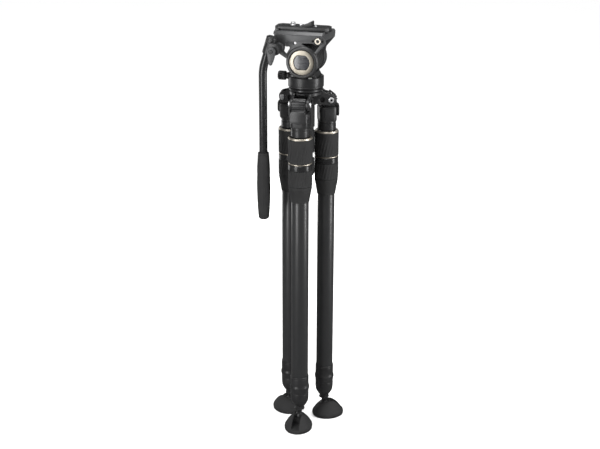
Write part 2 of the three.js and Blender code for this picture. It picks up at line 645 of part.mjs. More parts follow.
function accessorySocket() {
  const { x, z, r, threadR } = ACCESSORY;
  return hollow([
    [threadR, SIDE.inner + GAP], [r, SIDE.inner + GAP], [r, SIDE.outer + 1.4], [r - 0.6, SIDE.outer + 2],
    [threadR + 0.8, SIDE.outer + 2], [threadR, SIDE.outer + 1.2],
  ], 20).rotateX(Math.PI / 2).translate(x, 0, z);
}

addPiece(object, 'clamp_body', clampBody(), GREY_METAL);
addPiece(object, 'camera_plate', cameraPlate(), BLACK_METAL);
addPiece(object, 'camera_screw', cameraScrew(), STEEL);
addPiece(object, 'camera_stop', cameraStop(), BLACK_METAL);
addPiece(object, 'plate_lock_knob', plateLockKnob(), BLACK_METAL);
addPiece(object, 'accessory_socket', accessorySocket(), GOLD);

// ---------------------------------------------------------------- pan bar and its bracket
const LEAN = toRadians(BAR.lean);
const leanX = (z) => BAR.x + (z - BAR.bendZ) * Math.tan(LEAN);

// A straight rod along the leaning top end of the bar.
function leaningRod(r, z0, z1, facets) {
  const length = (z1 - z0) / Math.cos(LEAN);
  const bar = closed(new THREE.CylinderGeometry(r, r, length, facets)).rotateX(Math.PI / 2).rotateY(LEAN);
  return bar.translate((leanX(z0) + leanX(z1)) / 2, BAR.y, (z0 + z1) / 2);
}

class BarAxis extends THREE.Curve {
  getPoint(t, target = new THREE.Vector3()) {
    const start = BAR.gripLow + 12;
    const z = start + t * (BAR.topZ - start);
    const blend = 14;
    const past = Math.min(Math.max((z - (BAR.bendZ - blend)) / (2 * blend), 0), 1);
    const run = z > BAR.bendZ + blend ? z - BAR.bendZ : blend * past * past;
    return target.set(BAR.x + run * Math.tan(LEAN), BAR.y, z);
  }
}

function panBar() {
  const section = new THREE.Shape();
  section.absarc(0, 0, BAR.r, 0, 2 * Math.PI, false);
  return closed(new THREE.ExtrudeGeometry(section, { steps: 18, extrudePath: new BarAxis(), curveSegments: 6 }));
}

function barGrip() {
  const { gripLow, gripHigh, r } = BAR;
  const bore = r + GAP;
  return turned([
    [0, gripLow], [8, gripLow + 0.6], [10.6, gripLow + 3], [11.2, gripLow + 8], [13.5, gripLow + 45],
    [14, gripLow + 72], [13, gripHigh - 28], [11.6, gripHigh - 6], [10.8, gripHigh], [bore, gripHigh],
    [bore, gripLow + 11], [0, gripLow + 11],
  ], 20).translate(BAR.x, BAR.y, 0);
}

function barBracket() {
  const rosette = crossRod(ROSETTE.r, ROSETTE.x, -50, -ROSETTE.face - 0.4, ROSETTE.z, 20);
  const sleeve = leaningRod(10.8, 822, 856.6, 20);
  const arm = slab(polygon([[-64, 824], [-50, 820], [-38, 824], [-37, 836], [-44, 844], [-58, 846]]), -68.8, -47);
  const bore = leaningRod(BAR.r + GAP, 800, 870, 20);
  const leverBore = crossRod(3.8, LEVER.x, -80, -64.9, LEVER.z, 12);
  return cut(join(rosette, sleeve, arm), bore, leverBore);
}

// A teardrop clamping lever that hangs beside the bar, with its screw.
function barLever() {
  const { x, z, r, lowZ, inner, outer } = LEVER;
  const tipR = 3.4;
  const shape = new THREE.Shape();
  shape.absarc(x, z, r, 0, Math.PI, false);
  shape.quadraticCurveTo(x - r + 0.4, z - 14, x - 1.6 - tipR, lowZ + tipR);
  shape.absarc(x - 1.6, lowZ + tipR, tipR, Math.PI, 2 * Math.PI, false);
  shape.quadraticCurveTo(x + r - 1.6, z - 15, x + r, z);
  const blade = slab(shape, -outer, -inner, 8);
  return join(blade, crossRod(3.5, x, -inner - 1, -65.2, z, 12));
}

addPiece(object, 'pan_bar', panBar(), BLACK_METAL);
addPiece(object, 'bar_grip', barGrip(), RUBBER);
addPiece(object, 'bar_bracket', barBracket(), BLACK_METAL);
addPiece(object, 'bar_lever', barLever(), BLACK_METAL);

// ---------------------------------------------------------------- origin: centre of the footprint, on the floor
const bounds = new THREE.Box3().setFromObject(object, true);
const centre = bounds.getCenter(new THREE.Vector3());
object.position.set(-centre.x, -centre.y, -bounds.min.z);

export default object;
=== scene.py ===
# A folded carbon-fibre video tripod with a fluid head, on a pale studio floor.
# Shapes are drawn in millimetres in a local frame and placed in the shared frame, in metres.
import math

import bmesh
import bpy
from mathutils import Matrix, Vector


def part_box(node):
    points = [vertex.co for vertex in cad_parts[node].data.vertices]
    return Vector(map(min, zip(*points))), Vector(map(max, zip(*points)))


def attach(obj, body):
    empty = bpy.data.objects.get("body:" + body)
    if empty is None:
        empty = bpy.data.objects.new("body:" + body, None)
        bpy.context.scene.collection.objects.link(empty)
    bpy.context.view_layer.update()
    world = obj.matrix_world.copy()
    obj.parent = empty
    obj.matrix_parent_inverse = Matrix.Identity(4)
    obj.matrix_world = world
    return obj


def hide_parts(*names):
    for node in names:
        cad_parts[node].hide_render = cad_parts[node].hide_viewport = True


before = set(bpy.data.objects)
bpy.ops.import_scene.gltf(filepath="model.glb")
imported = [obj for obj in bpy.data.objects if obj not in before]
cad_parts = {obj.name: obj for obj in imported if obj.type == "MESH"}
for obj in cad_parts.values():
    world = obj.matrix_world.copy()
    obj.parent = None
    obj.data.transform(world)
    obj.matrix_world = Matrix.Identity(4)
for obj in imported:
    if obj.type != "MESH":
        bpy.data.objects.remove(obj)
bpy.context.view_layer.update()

MM = 0.001
TAU = 2 * math.pi
SHARP_ANGLE = math.radians(32)


# ---------------------------------------------------------------- places taken from the frame
def centre(node):
    low, high = (Vector(corner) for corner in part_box(node))
    return (low + high) / 2


def heights(node):
    low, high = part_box(node)
    return low[2] / MM, high[2] / MM


def half_width(node):
    low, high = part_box(node)
    return (high[0] - low[0]) / MM / 2


AXIS = centre("levelling_base") * Vector((1, 1, 0))
HEAD = Matrix.Translation((AXIS.x, AXIS.y, 0)) @ Matrix.Scale(MM, 4)
TILT_Z = centre("tilt_drum").z / MM
LEGS = ("front", "right", "left")


def leg_frame(name):
    """X outwards from the tripod's centre line and Y along the pivot bolt, about the leg's own axis."""
    axis = centre(f"{name}_lower_tube")
    out = Vector((axis.x - AXIS.x, axis.y - AXIS.y))
    turn = Matrix.Rotation(math.atan2(out.y, out.x), 4, "Z")
    return Matrix.Translation((axis.x, axis.y, 0)) @ turn @ Matrix.Scale(MM, 4)


LEG_RING = (centre("front_lower_tube") - AXIS).to_2d().length / MM
PIVOT_X = (centre("front_pivot_bolt") - AXIS).to_2d().length / MM - LEG_RING
PIVOT_Z = centre("front_pivot_bolt").z / MM


# ---------------------------------------------------------------- materials
class Shader:
    """A Principled material whose look is built from procedural nodes."""

    def __init__(self, name, **values):
        self.material = bpy.data.materials.new(name)
        self.material.use_nodes = True
        self.nodes = self.material.node_tree.nodes
        self.links = self.material.node_tree.links
        self.bsdf = self.nodes["Principled BSDF"]
        for socket, value in values.items():
            self.bsdf.inputs[socket.replace("_", " ")].default_value = value

    def add(self, kind, settings=None, **inputs):
        node = self.nodes.new(kind)
        for key, value in (settings or {}).items():
            setattr(node, key, value)
        for key, value in inputs.items():
            numbered = key[0] == "i" and key[1:].isdigit()
            socket = node.inputs[int(key[1:]) if numbered else key.replace("_", " ")]
            if isinstance(value, bpy.types.NodeSocket):
                self.links.new(value, socket)
            else:
                socket.default_value = value
        return node

    def math(self, operation, a, b=0.0):
        return self.add("ShaderNodeMath", {"operation": operation}, i0=a, i1=b).outputs[0]

    def span(self, value, low, high, out_low, out_high):
        node = self.add("ShaderNodeMapRange", None, Value=value, From_Min=low, From_Max=high, To_Min=out_low,
                        To_Max=out_high)
        return node.outputs["Result"]

    def noise(self, scale, detail=3.0, stretch=(1, 1, 1)):
        place = self.add("ShaderNodeTexCoord").outputs["Object"]
        mapped = self.add("ShaderNodeMapping", None, Vector=place, Scale=stretch).outputs[0]
        return self.add("ShaderNodeTexNoise", None, Vector=mapped, Scale=scale, Detail=detail).outputs["Fac"]

    def blend(self, factor, first, second):
        node = self.add("ShaderNodeMix", {"data_type": "RGBA"}, Factor=factor)
        node.inputs[6].default_value = (*first, 1)
        node.inputs[7].default_value = (*second, 1)
        return node.outputs[2]

    def colour(self, output):
        self.links.new(output, self.bsdf.inputs["Base Color"])

    def roughness(self, output):
        self.links.new(output, self.bsdf.inputs["Roughness"])

    def bump(self, output, distance, strength=1.0):
        node = self.add("ShaderNodeBump", None, Height=output, Distance=distance, Strength=strength)
        self.links.new(node.outputs[0], self.bsdf.inputs["Normal"])


def coated_metal(name, dark, light, metallic, rough, worn):
    """Anodised or painted metal: blasted grain, faint cloudiness and slightly brighter worn edges."""
    shader = Shader(name, Metallic=metallic)
    cloud = shader.noise(38, 4)
    grain = shader.noise(2600, 2)
    edge = shader.add("ShaderNodeNewGeometry").outputs["Pointiness"]
    scuffs = shader.math("MULTIPLY", shader.span(edge, 0.53, 0.60, 0, 1),
                         shader.span(shader.noise(160, 5), 0.42, 0.62, 0, 1))
    base = shader.blend(shader.span(cloud, 0.3, 0.7, 0, 1), dark, light)
    mix = shader.add("ShaderNodeMix", {"data_type": "RGBA"}, Factor=shader.math("MULTIPLY", scuffs, 0.45))
    shader.links.new(base, mix.inputs[6])
    mix.inputs[7].default_value = (*worn, 1)
    shader.colour(mix.outputs[2])
    shader.roughness(shader.span(shader.math("ADD", cloud, shader.math("MULTIPLY", grain, 0.5)), 0.5, 1.0,
                                 rough - 0.06, rough + 0.07))
    shader.bump(grain, 0.00006, 0.35)
    return shader.material


def moulded_rubber():
    shader = Shader("moulded_rubber", Metallic=0.0, Specular_IOR_Level=0.35)
    dust = shader.noise(55, 5)
    grain = shader.noise(1500, 3)
    shader.colour(shader.blend(shader.span(dust, 0.35, 0.75, 0, 1), (0.0095, 0.0095, 0.0098),
                               (0.0150, 0.0150, 0.0153)))
    shader.roughness(shader.span(dust, 0.3, 0.7, 0.66, 0.84))
    shader.bump(grain, 0.00012, 0.5)
    return shader.material


def carbon_weave():
    """A 2 by 2 twill laid round the tube, under a thin satin lacquer. The wrap map is in millimetres."""
    tow = 1.9
    shader = Shader("carbon_weave", Metallic=0.0, Specular_IOR_Level=0.5, Coat_Weight=0.55,
                    Coat_Roughness=0.24)
    wrap = shader.add("ShaderNodeUVMap", {"uv_map": "wrap"}).outputs[0]
    split = shader.add("ShaderNodeSeparateXYZ", None, Vector=wrap)
    across = shader.math("DIVIDE", split.outputs[0], tow)
    along = shader.math("DIVIDE", split.outputs[1], tow)
    step = shader.math("ADD", shader.math("FLOOR", across), shader.math("FLOOR", along))
    over = shader.math("LESS_THAN", shader.math("FLOORED_MODULO", step, 4.0), 2.0)
    under = shader.math("SUBTRACT", 1.0, over)

    def crown(value):
        return shader.math("ABSOLUTE", shader.math("SINE", shader.math("MULTIPLY", value, math.pi)))

    def fibres(value):
        return shader.math("SINE", shader.math("MULTIPLY", value, TAU * 9))

    height = shader.math(
        "ADD", shader.math("MULTIPLY", over, crown(across)), shader.math("MULTIPLY", under, crown(along))
    )
    strands = shader.math(
        "ADD", shader.math("MULTIPLY", over, fibres(across)), shader.math("MULTIPLY", under, fibres(along))
    )
    patchy = shader.noise(24, 3)
    tone = shader.math("ADD", shader.math("MULTIPLY", over, 0.55), shader.math("MULTIPLY", patchy, 0.45))
    shader.colour(shader.blend(tone, (0.0060, 0.0062, 0.0066), (0.0130, 0.0134, 0.0142)))
    shader.roughness(shader.span(over, 0, 1, 0.34, 0.50))
    shader.bump(shader.math("ADD", height, shader.math("MULTIPLY", strands, 0.12)), 0.00009, 0.6)
    return shader.material


def champagne_metal(name, dark, light):
    """Turned and anodised aluminium with a faint lathe texture."""
    shader = Shader(name, Metallic=1.0)
    cloud = shader.noise(70, 3)
    lines = shader.noise(900, 2, stretch=(0.08, 0.08, 6))
    shader.colour(shader.blend(shader.span(cloud, 0.3, 0.7, 0, 1), dark, light))
    shader.roughness(shader.span(lines, 0.3, 0.7, 0.36, 0.46))
    shader.bump(lines, 0.00003, 0.4)
    return shader.material


def bright_steel():
    shader = Shader("bright_steel", Metallic=1.0)
    swirl = shader.noise(420, 4, stretch=(1, 1, 0.2))
    shader.colour(shader.blend(shader.span(swirl, 0.3, 0.7, 0, 1), (0.66, 0.665, 0.67), (0.80, 0.80, 0.81)))
    shader.roughness(shader.span(swirl, 0.3, 0.7, 0.34, 0.50))
    shader.bump(swirl, 0.00003, 0.3)
    return shader.material


def glossy_badge():
    shader = Shader("glossy_badge", Metallic=0.0, Coat_Weight=0.3, Coat_Roughness=0.2)
    brush = shader.noise(900, 3, stretch=(0.04, 1, 1))
    shader.colour(shader.blend(shader.span(brush, 0.35, 0.65, 0, 1), (0.014, 0.0145, 0.017),
                               (0.030, 0.031, 0.035)))
    shader.roughness(shader.span(brush, 0.3, 0.7, 0.18, 0.30))
    return shader.material


def vial_fluid():
    shader = Shader("vial_fluid", Metallic=0.0, Roughness=0.05, Coat_Weight=1.0, Coat_Roughness=0.02)
    swirl = shader.noise(300, 2)
    shader.colour(shader.blend(swirl, (0.42, 0.55, 0.10), (0.62, 0.74, 0.22)))
    return shader.material


def deep_shadow():
    """Painted shade: a near-black matte finish that stands for the unlit bottom of a small bore."""
    shader = Shader("bore_shadow", Metallic=0.0, Specular_IOR_Level=0.1)
    soot = shader.noise(800, 2)
    shader.colour(shader.blend(soot, (0.003, 0.003, 0.003), (0.008, 0.008, 0.008)))
    shader.roughness(shader.span(soot, 0.3, 0.7, 0.8, 0.95))
    return shader.material


BLACK = coated_metal("black_metal", (0.0105, 0.0105, 0.011), (0.0165, 0.0165, 0.017), 0.2, 0.36,
                     (0.08, 0.08, 0.084))
SATIN = coated_metal("satin_black", (0.0095, 0.0095, 0.010), (0.014, 0.014, 0.0145), 0.2, 0.28,
                     (0.06, 0.06, 0.062))
GREY = coated_metal("grey_metal", (0.036, 0.0365, 0.0375), (0.050, 0.0505, 0.052), 0.3, 0.42,
                    (0.16, 0.16, 0.165))
RUBBER = moulded_rubber()
CARBON = carbon_weave()
GOLD = champagne_metal("champagne_metal", (0.52, 0.475, 0.405), (0.61, 0.565, 0.49))
# A darker copy of the same champagne metal for the front ring: painted shade that tones down the bright
# reflection of the strip lights on its face.
SHADED_RING_GOLD = champagne_metal("champagne_ring_painted_shade", (0.315, 0.285, 0.235), (0.375, 0.345, 0.29))
STEEL = bright_steel()
BADGE = glossy_badge()
FLUID = vial_fluid()
SHADOW = deep_shadow()


# ---------------------------------------------------------------- mesh helpers, all in millimetres
def circle_at(radius):
    return lambda angle: radius


def polygon_at(inradius, sides):
    """The radius, by angle, of a regular polygon with slightly rounded corners."""
    half = math.pi / sides

    def radius(angle):
        return inradius / math.cos((angle + half) % (2 * half) - half)

    return radius


def skin(rows, capped=True, wrap_radius=1.0):
    """A closed surface through rings of one length. A ring of radius nearly 0 becomes a pole."""
    mesh = bpy.data.meshes.new("skin")
    work = bmesh.new()
    wrap = work.loops.layers.uv.new("wrap")
    rings = [[work.verts.new(point) for point in row] for row in rows]
    count = len(rows[0])
    for low, high in zip(rings, rings[1:]):
        for i in range(count):
            j = (i + 1) % count
            face = work.faces.new((low[i], low[j], high[j], high[i]))
            columns = (i, i + 1, i + 1, i)
            for loop, column in zip(face.loops, columns):
                loop[wrap].uv = (column / count * TAU * wrap_radius, loop.vert.co.z)
    if capped:
        work.faces.new(list(reversed(rings[0])))
        work.faces.new(rings[-1])
    bmesh.ops.remove_doubles(work, verts=work.verts, dist=1e-4)
    bmesh.ops.recalc_face_normals(work, faces=work.faces)
    work.to_mesh(mesh)
    work.free()
    return mesh


def softened(profile, radius, steps=3, closed=False):
    """Rounds the corners of an outline. A point may carry its own radius as a third number."""
    count = len(profile)
    result = []
    for index, point in enumerate(profile):
        here = Vector(point[:2])
        own = point[2] if len(point) > 2 else radius
        if own <= 0 or (not closed and index in (0, count - 1)):
            result.append(here)
            continue
        before = Vector(profile[index - 1][:2])
        after = Vector(profile[(index + 1) % count][:2])
        back, on = before - here, after - here
        if min(back.length, on.length) < 1e-6 or back.angle(on) > math.radians(177):
            result.append(here)
            continue
        reach = min(own / math.tan(back.angle(on) / 2), back.length * 0.45, on.length * 0.45)
        start, end = here + back.normalized() * reach, here + on.normalized() * reach
        for i in range(steps + 1):
            t = i / steps
            result.append(start * (1 - t) ** 2 + here * 2 * t * (1 - t) + end * t ** 2)
    return result


def column(radius, low, high, steps):
    """A straight run of a profile, with points enough for relief."""
    return [(radius, low + (high - low) * i / steps, 0) for i in range(steps + 1)]


def turned(profile, soft=0.4, segments=96, relief=None, closed=False):
    """Revolves an outline of (radius, height) about Z. relief(angle, height, radius) may change a radius."""
    points = softened(profile, soft, closed=closed)
    if closed:
        points.append(points[0])
    rows = []
    for r, z in points:
        row = []
        for i in range(segments):
            angle = i / segments * TAU
            radius = relief(angle, z, r) if relief else r
            row.append((radius * math.cos(angle), radius * math.sin(angle), z))
        rows.append(row)
    widest = max(r for r, z in points)
    return skin(rows, not closed, widest)


def flutes(count, depth, low, high, twist=0.0, fade=2.0, fade_high=None, sharp=1.0):
    """Relief of long grooves between two heights, leaning by twist radians per millimetre."""

    def relief(angle, z, r):
        edge = min(max((z - low) / fade, 0), 1) * min(max((high - z) / (fade_high or fade), 0), 1)
        wave = (0.5 + 0.5 * math.cos(count * (angle + twist * (z - low)))) ** sharp
        return r - depth * edge * wave

    return relief


def thread(pitch, depth, low, high):
    def relief(angle, z, r):
        if not low <= z <= high:
            return r
        return r + depth * math.sin(TAU * z / pitch - angle)

    return relief


def arc(x, y, r, start, end, steps=8):
    """Points on an arc, with the angles in degrees."""
    turn = [math.radians(start + (end - start) * i / steps) for i in range(steps + 1)]
    return [(x + r * math.cos(a), y + r * math.sin(a), 0) for a in turn]


def plate(outline, thickness, bevel=0.6, holes=(), soft=1.0, steps=4):
    """A flat piece from an outline in X and Y, centred on Z, with rounded corners and edges."""
    curve = bpy.data.curves.new("plate", "CURVE")
    curve.dimensions = "2D"
    curve.fill_mode = "BOTH"
    curve.extrude = thickness / 2 - bevel
    curve.bevel_depth = bevel
    curve.bevel_resolution = 2
    curve.offset = -bevel
    for path in (outline, *holes):
        points = softened(path, soft, steps, closed=True)
        spline = curve.splines.new("POLY")
        spline.points.add(len(points) - 1)
        for target, point in zip(spline.points, points):
            target.co = (point.x, point.y, 0, 1)
        spline.use_cyclic_u = True
    holder = bpy.data.objects.new("plate", curve)
    bpy.context.collection.objects.link(holder)
    graph = bpy.context.evaluated_depsgraph_get()
    mesh = bpy.data.meshes.new_from_object(holder.evaluated_get(graph))
    bpy.data.objects.remove(holder)
    bpy.data.curves.remove(curve)
    work = bmesh.new()
    work.from_mesh(mesh)
    bmesh.ops.remove_doubles(work, verts=work.verts, dist=1e-4)
    bmesh.ops.recalc_face_normals(work, faces=work.faces)
    work.to_mesh(mesh)
    work.free()
    return mesh


def upright(mesh, y0, y1):
    """Stands a flat piece up, so that its outline lies in X and Z and its thickness runs from y0 to y1."""
    mesh.transform(Matrix.Translation((0, (y0 + y1) / 2, 0)) @ Matrix.Rotation(math.pi / 2, 4, "X"))
    return mesh


def shifted(mesh, x=0.0, y=0.0, z=0.0):
    mesh.transform(Matrix.Translation((x, y, z)))
    return mesh


def along_minus_y(mesh, x=0.0, z=0.0):
    """Turns a lathe piece about Z into one about -Y, through the point x, z."""
    mesh.transform(Matrix.Translation((x, 0, z)) @ Matrix.Rotation(math.pi / 2, 4, "X"))
    return mesh


def along_plus_y(mesh, x, z):
    mesh.transform(Matrix.Translation((x, 0, z)) @ Matrix.Rotation(-math.pi / 2, 4, "X"))
    return mesh


def pointing(mesh, z, azimuth):
    """Turns a lathe piece about Z into a level one, that points away from the head's axis."""
    turn = Matrix.Rotation(azimuth, 4, "Z") @ Matrix.Rotation(math.pi / 2, 4, "Y")
    mesh.transform(Matrix.Translation((0, 0, z)) @ turn)
    return mesh


def box_mesh(x0, x1, y0, y1, z0, z1, bevel=0.5):
    outline = [(x0, y0), (x1, y0), (x1, y1), (x0, y1)]
    return shifted(plate(outline, z1 - z0, bevel, soft=bevel), z=(z0 + z1) / 2)


def extruded(section, x0, x1, bevel=0.6, front=None):
    """A section in Y and Z drawn out along X. front(y) may slant the far end."""

    def far_end(y):
        return front(y) if front else x1

    work = bmesh.new()
    ends = []
    for near in (True, False):
        ends.append([work.verts.new((x0 if near else far_end(y), y, z)) for y, z in section])
    count = len(section)
    for i in range(count):
        j = (i + 1) % count
        work.faces.new((ends[0][i], ends[0][j], ends[1][j], ends[1][i]))
    work.faces.new(list(reversed(ends[0])))
    work.faces.new(ends[1])
    bmesh.ops.recalc_face_normals(work, faces=work.faces)
    bmesh.ops.bevel(
        work, geom=work.edges[:], offset=bevel, segments=3, profile=0.5, affect="EDGES", clamp_overlap=True
    )
    mesh = bpy.data.meshes.new("extruded")
    work.to_mesh(mesh)
    work.free()
    return mesh


def swept(path, radius, segments=40, ends=1.5):
    """A round bar through points, with slightly rounded ends."""
    rows = []
    side = Vector((0, 1, 0))
    for i, point in enumerate(path):
        ahead = path[min(i + 1, len(path) - 1)] - path[max(i - 1, 0)]
        ahead.normalize()
        across = side.cross(ahead).normalized()
        lift = ahead.cross(across)

        def ring(r, shift):
            angles = (TAU * k / segments for k in range(segments))
            return [tuple(point + ahead * shift + (across * math.cos(a) + lift * math.sin(a)) * r)
                    for a in angles]

        if i == 0:
            rows += [ring(radius - ends, 0), ring(radius - ends * 0.3, ends * 0.3), ring(radius, ends)]
        elif i == len(path) - 1:
            rows += [ring(radius, -ends), ring(radius - ends * 0.3, -ends * 0.3), ring(radius - ends, 0)]
        else:
            rows.append(ring(radius, 0))
    return skin(rows)


def joined(*meshes):
    """Several closed shells as one mesh."""
    work = bmesh.new()
    for mesh in meshes:
        work.from_mesh(mesh)
        bpy.data.meshes.remove(mesh)
    result = bpy.data.meshes.new("joined")
    work.to_mesh(result)
    work.free()
    return result


def carved(mesh, *cutters, operation="DIFFERENCE"):
    """Cuts closed shells out of a mesh, or keeps only what they share."""
    target = bpy.data.objects.new("carved", mesh)
    bpy.context.collection.objects.link(target)
    for cutter in cutters:
        tool = bpy.data.objects.new("cutter", cutter)
        bpy.context.collection.objects.link(tool)
        modifier = target.modifiers.new("cut", "BOOLEAN")
        modifier.operation = operation
        modifier.solver = "EXACT"
        modifier.object = tool
    bpy.context.view_layer.update()
    graph = bpy.context.evaluated_depsgraph_get()
    result = bpy.data.meshes.new_from_object(target.evaluated_get(graph))
    for modifier in target.modifiers:
        bpy.data.objects.remove(modifier.object)
    bpy.data.objects.remove(target)
    return result


def add(name, mesh, place, material, body, *nodes):
    """Puts a finished mesh into the frame as a piece that rides on a body and stands for some CAD nodes."""
    mesh.transform(place)
    work = bmesh.new()
    work.from_mesh(mesh)
    for face in work.faces:
        face.smooth = True
        face.material_index = 0
    for edge in work.edges:
        edge.smooth = len(edge.link_faces) == 2 and edge.calc_face_angle(0) < SHARP_ANGLE
    work.to_mesh(mesh)
    work.free()
    mesh.name = name
    mesh.materials.clear()
    mesh.materials.append(material)
    piece = bpy.data.objects.new(name, mesh)
    bpy.context.collection.objects.link(piece)
    if nodes:
        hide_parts(*nodes)
    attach(piece, body)


def add_per_leg(name, master, material, body, *nodes):
    """Puts a copy of a mesh on every leg. A star in a name stands for the leg."""
    for leg in LEGS:
        piece, ridden, *replaced = (text.replace("*", leg) for text in (name, body, *nodes))
        add(piece, master.copy(), leg_frame(leg), material, ridden, *replaced)
    bpy.data.meshes.remove(master)


# ---------------------------------------------------------------- leg pieces, about the leg's own axis
LOCK_R = 24.8
SLEEVE_TWIST = -0.0085  # lean of the grooves, in radians per millimetre
TRIM_LOW, TRIM_HIGH = 599.4, 602.3
BAND_LOW = 587.0


def loft(sections, segments=72):
    """A closed surface through (height, half depth, half width, squareness) sections."""
    rows = []
    for z, a, b, n in sections:
        row = []
        for i in range(segments):
            angle = i / segments * TAU
            c, s = math.cos(angle), math.sin(angle)
            r = (abs(c / a) ** n + abs(s / b) ** n) ** (-1 / n)
            row.append((r * c, r * s, z))
        rows.append(row)
    return skin(rows)


def shoulder_casting():
    low, _ = heights("front_shoulder")
    body = loft([
        (675.2, 17.6, 18.0, 3.2), (676.2, 18.0, 18.7, 3.6), (678, 18.2, 19, 4), (690, 18.2, 19, 4.4),
        (703.5, 18.2, 19, 4.4), (705.2, 17.7, 18.6, 4.2), (706, 16.6, 17.6, 4),
    ])
    neck = turned([(12.3, low), (18.2, low), (19, low + 1), (19, 669), (18.2, 670), (18.2, 671.4),
                   (19, 672.2), (19, 676.5), (12.3, 676.5)], 0.3, closed=True)
    tongue_outline = [(PIVOT_X - 10.6, 703), (PIVOT_X + 10.6, 703)]
    tongue_outline += arc(PIVOT_X, PIVOT_Z, 10.8, 0, 180, 20)
    tongue = upright(plate(tongue_outline, 26.6, 1.2, soft=0), -13.3, 13.3)
    return joined(body, neck, tongue)


def side_panels():
    """Shallow raised panels on the two flanks of the shoulder, under the hub's cheeks."""
    outline = [(-9, 681), (9, 681), (10, 686), (10, 700), (6, 703.5), (-6, 703.5), (-10, 700), (-10, 686)]
    panels = []
    for side in (-1, 1):
        panels.append(upright(plate(outline, 1.6, 0.5, soft=2.5), side * 19 - 0.7, side * 19 + 0.7))
    return joined(*panels)


def pivot_bolt():
    """A bright bolt with a hexagon socket in one end and a round nut on the other."""
    reach = half_width("front_pivot_bolt")
    face = 22.8
    hexagon = polygon_at(2.3, 6)

    def socket(angle, z, r):
        return hexagon(angle) if r < 2.8 and z > 0 else r

    head = [(0.01, -reach), (4.6, -reach), (5.6, -reach + 0.8), (5.6, -19.8), (4.6, -19.8), (4.6, 19.8),
            (5.9, 19.8), (5.9, face - 0.4), (4.8, face + 0.5), (2.6, face + 0.5, 0), (2.6, face - 2.2, 0),
            (0.01, face - 2.2)]
    return along_minus_y(turned(head, 0.3, 48, socket), PIVOT_X, PIVOT_Z)


def painted_shade_socket_disc():
    # Painted shade: a near-black disc just above the floor of the bolt's hexagon socket, where the socket is
    # in shade.
    floor = turned([(0.01, 20.75), (2.5, 20.75), (2.5, 21.2), (0.01, 21.2)], 0, 24)
    return along_minus_y(floor, PIVOT_X, PIVOT_Z)


def angle_tab():
    """A smooth thumb pad under five ribs that curve round the pivot."""
    low = heights("front_angle_tab")[0]

    def about(angle, r):
        turn = math.radians(angle)
        return PIVOT_X + r * math.cos(turn), PIVOT_Z + r * math.sin(turn), 0.5

    ribs = [(14.3, 706.5, 0.5), (20, 706.5, 0.5), (20, 710.6, 0.5)]
    for i in range(5):
        start = 20 * i - 26
        ribs += [about(start, 13.9), about(start + 3, 15.6), about(start + 11, 15.6),
                 about(start + 14, 13.9)]
    ribs += [about(angle, 12.4) for angle in (70, 50, 30, 10, -10)]
    ribbed = upright(plate(ribs, 26.4, 0.5, soft=0.5, steps=2), -13.2, 13.2)
    pad = plate([(-13.6, low, 3), (13.6, low, 3), (16.5, low + 5, 3), (16.5, 706, 4), (12.5, 711.4, 3),
                 (-12.5, 711.4, 3), (-16.5, 706, 4), (-16.5, low + 5, 3)], 3.5, 1.0)
    pad.transform(Matrix.Rotation(math.pi / 2, 4, "Z") @ Matrix.Rotation(math.pi / 2, 4, "X"))
    return joined(ribbed, shifted(pad, 20.1))


def upper_sleeve():
    low, high = heights("front_upper_lock_ring")
    top = high - 3.9
    profile = [(20, low), (24.0, low)] + column(LOCK_R, low + 0.9, top - 0.6, 20) + [(24.2, top), (20, top)]
    return turned(profile, 0.3, 256, flutes(24, 0.75, low + 1, top - 1, SLEEVE_TWIST, 3.0, 22.0, 1.4),
                  closed=True)


def upper_gold():
    high = heights("front_upper_lock_ring")[1]
    return turned([(20.6, high - 3.8), (LOCK_R - 0.1, high - 3.8), (LOCK_R, high - 2.8, 0.3),
                   (LOCK_R - 1.6, high - 0.2, 0.5), (LOCK_R - 2.6, high, 0.4), (20.6, high - 0.1)], 0.2, 96,
                   closed=True)


def upper_inner():
    """The dark locking nut inside the bright ring."""
    high = heights("front_upper_lock_ring")[1]
    low = heights("front_middle_tube")[1] + 0.3
    return turned([(12.8, low), (20.4, low), (20.4, high - 0.6), (19.6, high - 0.2), (12.8, high - 0.2)],
                  0.3, closed=True)


def middle_trim():
    outline = [(15.2, TRIM_LOW), (23.5, TRIM_LOW), (24.2, TRIM_LOW + 0.7), (24.2, TRIM_HIGH - 0.7),
               (23.5, TRIM_HIGH), (15.2, TRIM_HIGH)]
    return turned(outline, 0.3, 96, closed=True)


def middle_thread():
    low, high = TRIM_HIGH + 0.1, heights("front_middle_tube")[1]
    profile = [(12.9, low)] + column(19.3, low, high, 40) + [(12.9, high)]
    return turned(profile, 0.2, 64, thread(3.0, 0.25, low + 1, high - 2), closed=True)


def lower_band():
    low, high = BAND_LOW, heights("front_lower_lock_ring")[1]
    return turned([(15.5, high - 2.6), (20.4, high - 2.6), (20.4, low), (LOCK_R - 0.9, low),
                   (LOCK_R - 0.3, low + 0.7), (LOCK_R - 0.3, high - 0.9), (LOCK_R - 1.2, high),
                   (15.5, high)], 0.3, 96, closed=True)


def lower_sleeve():
    low = heights("front_lower_lock_ring")[0]
    top = BAND_LOW - 0.2
    profile = [(20.5, low), (24.0, low)]
    profile += column(LOCK_R, low + 0.9, top - 0.5, 14) + [(24.3, top), (20.5, top)]
    return turned(profile, 0.3, 256, flutes(24, 0.75, low + 1, top - 1, SLEEVE_TWIST, 3.0, 3.0, 1.4),
                  closed=True)


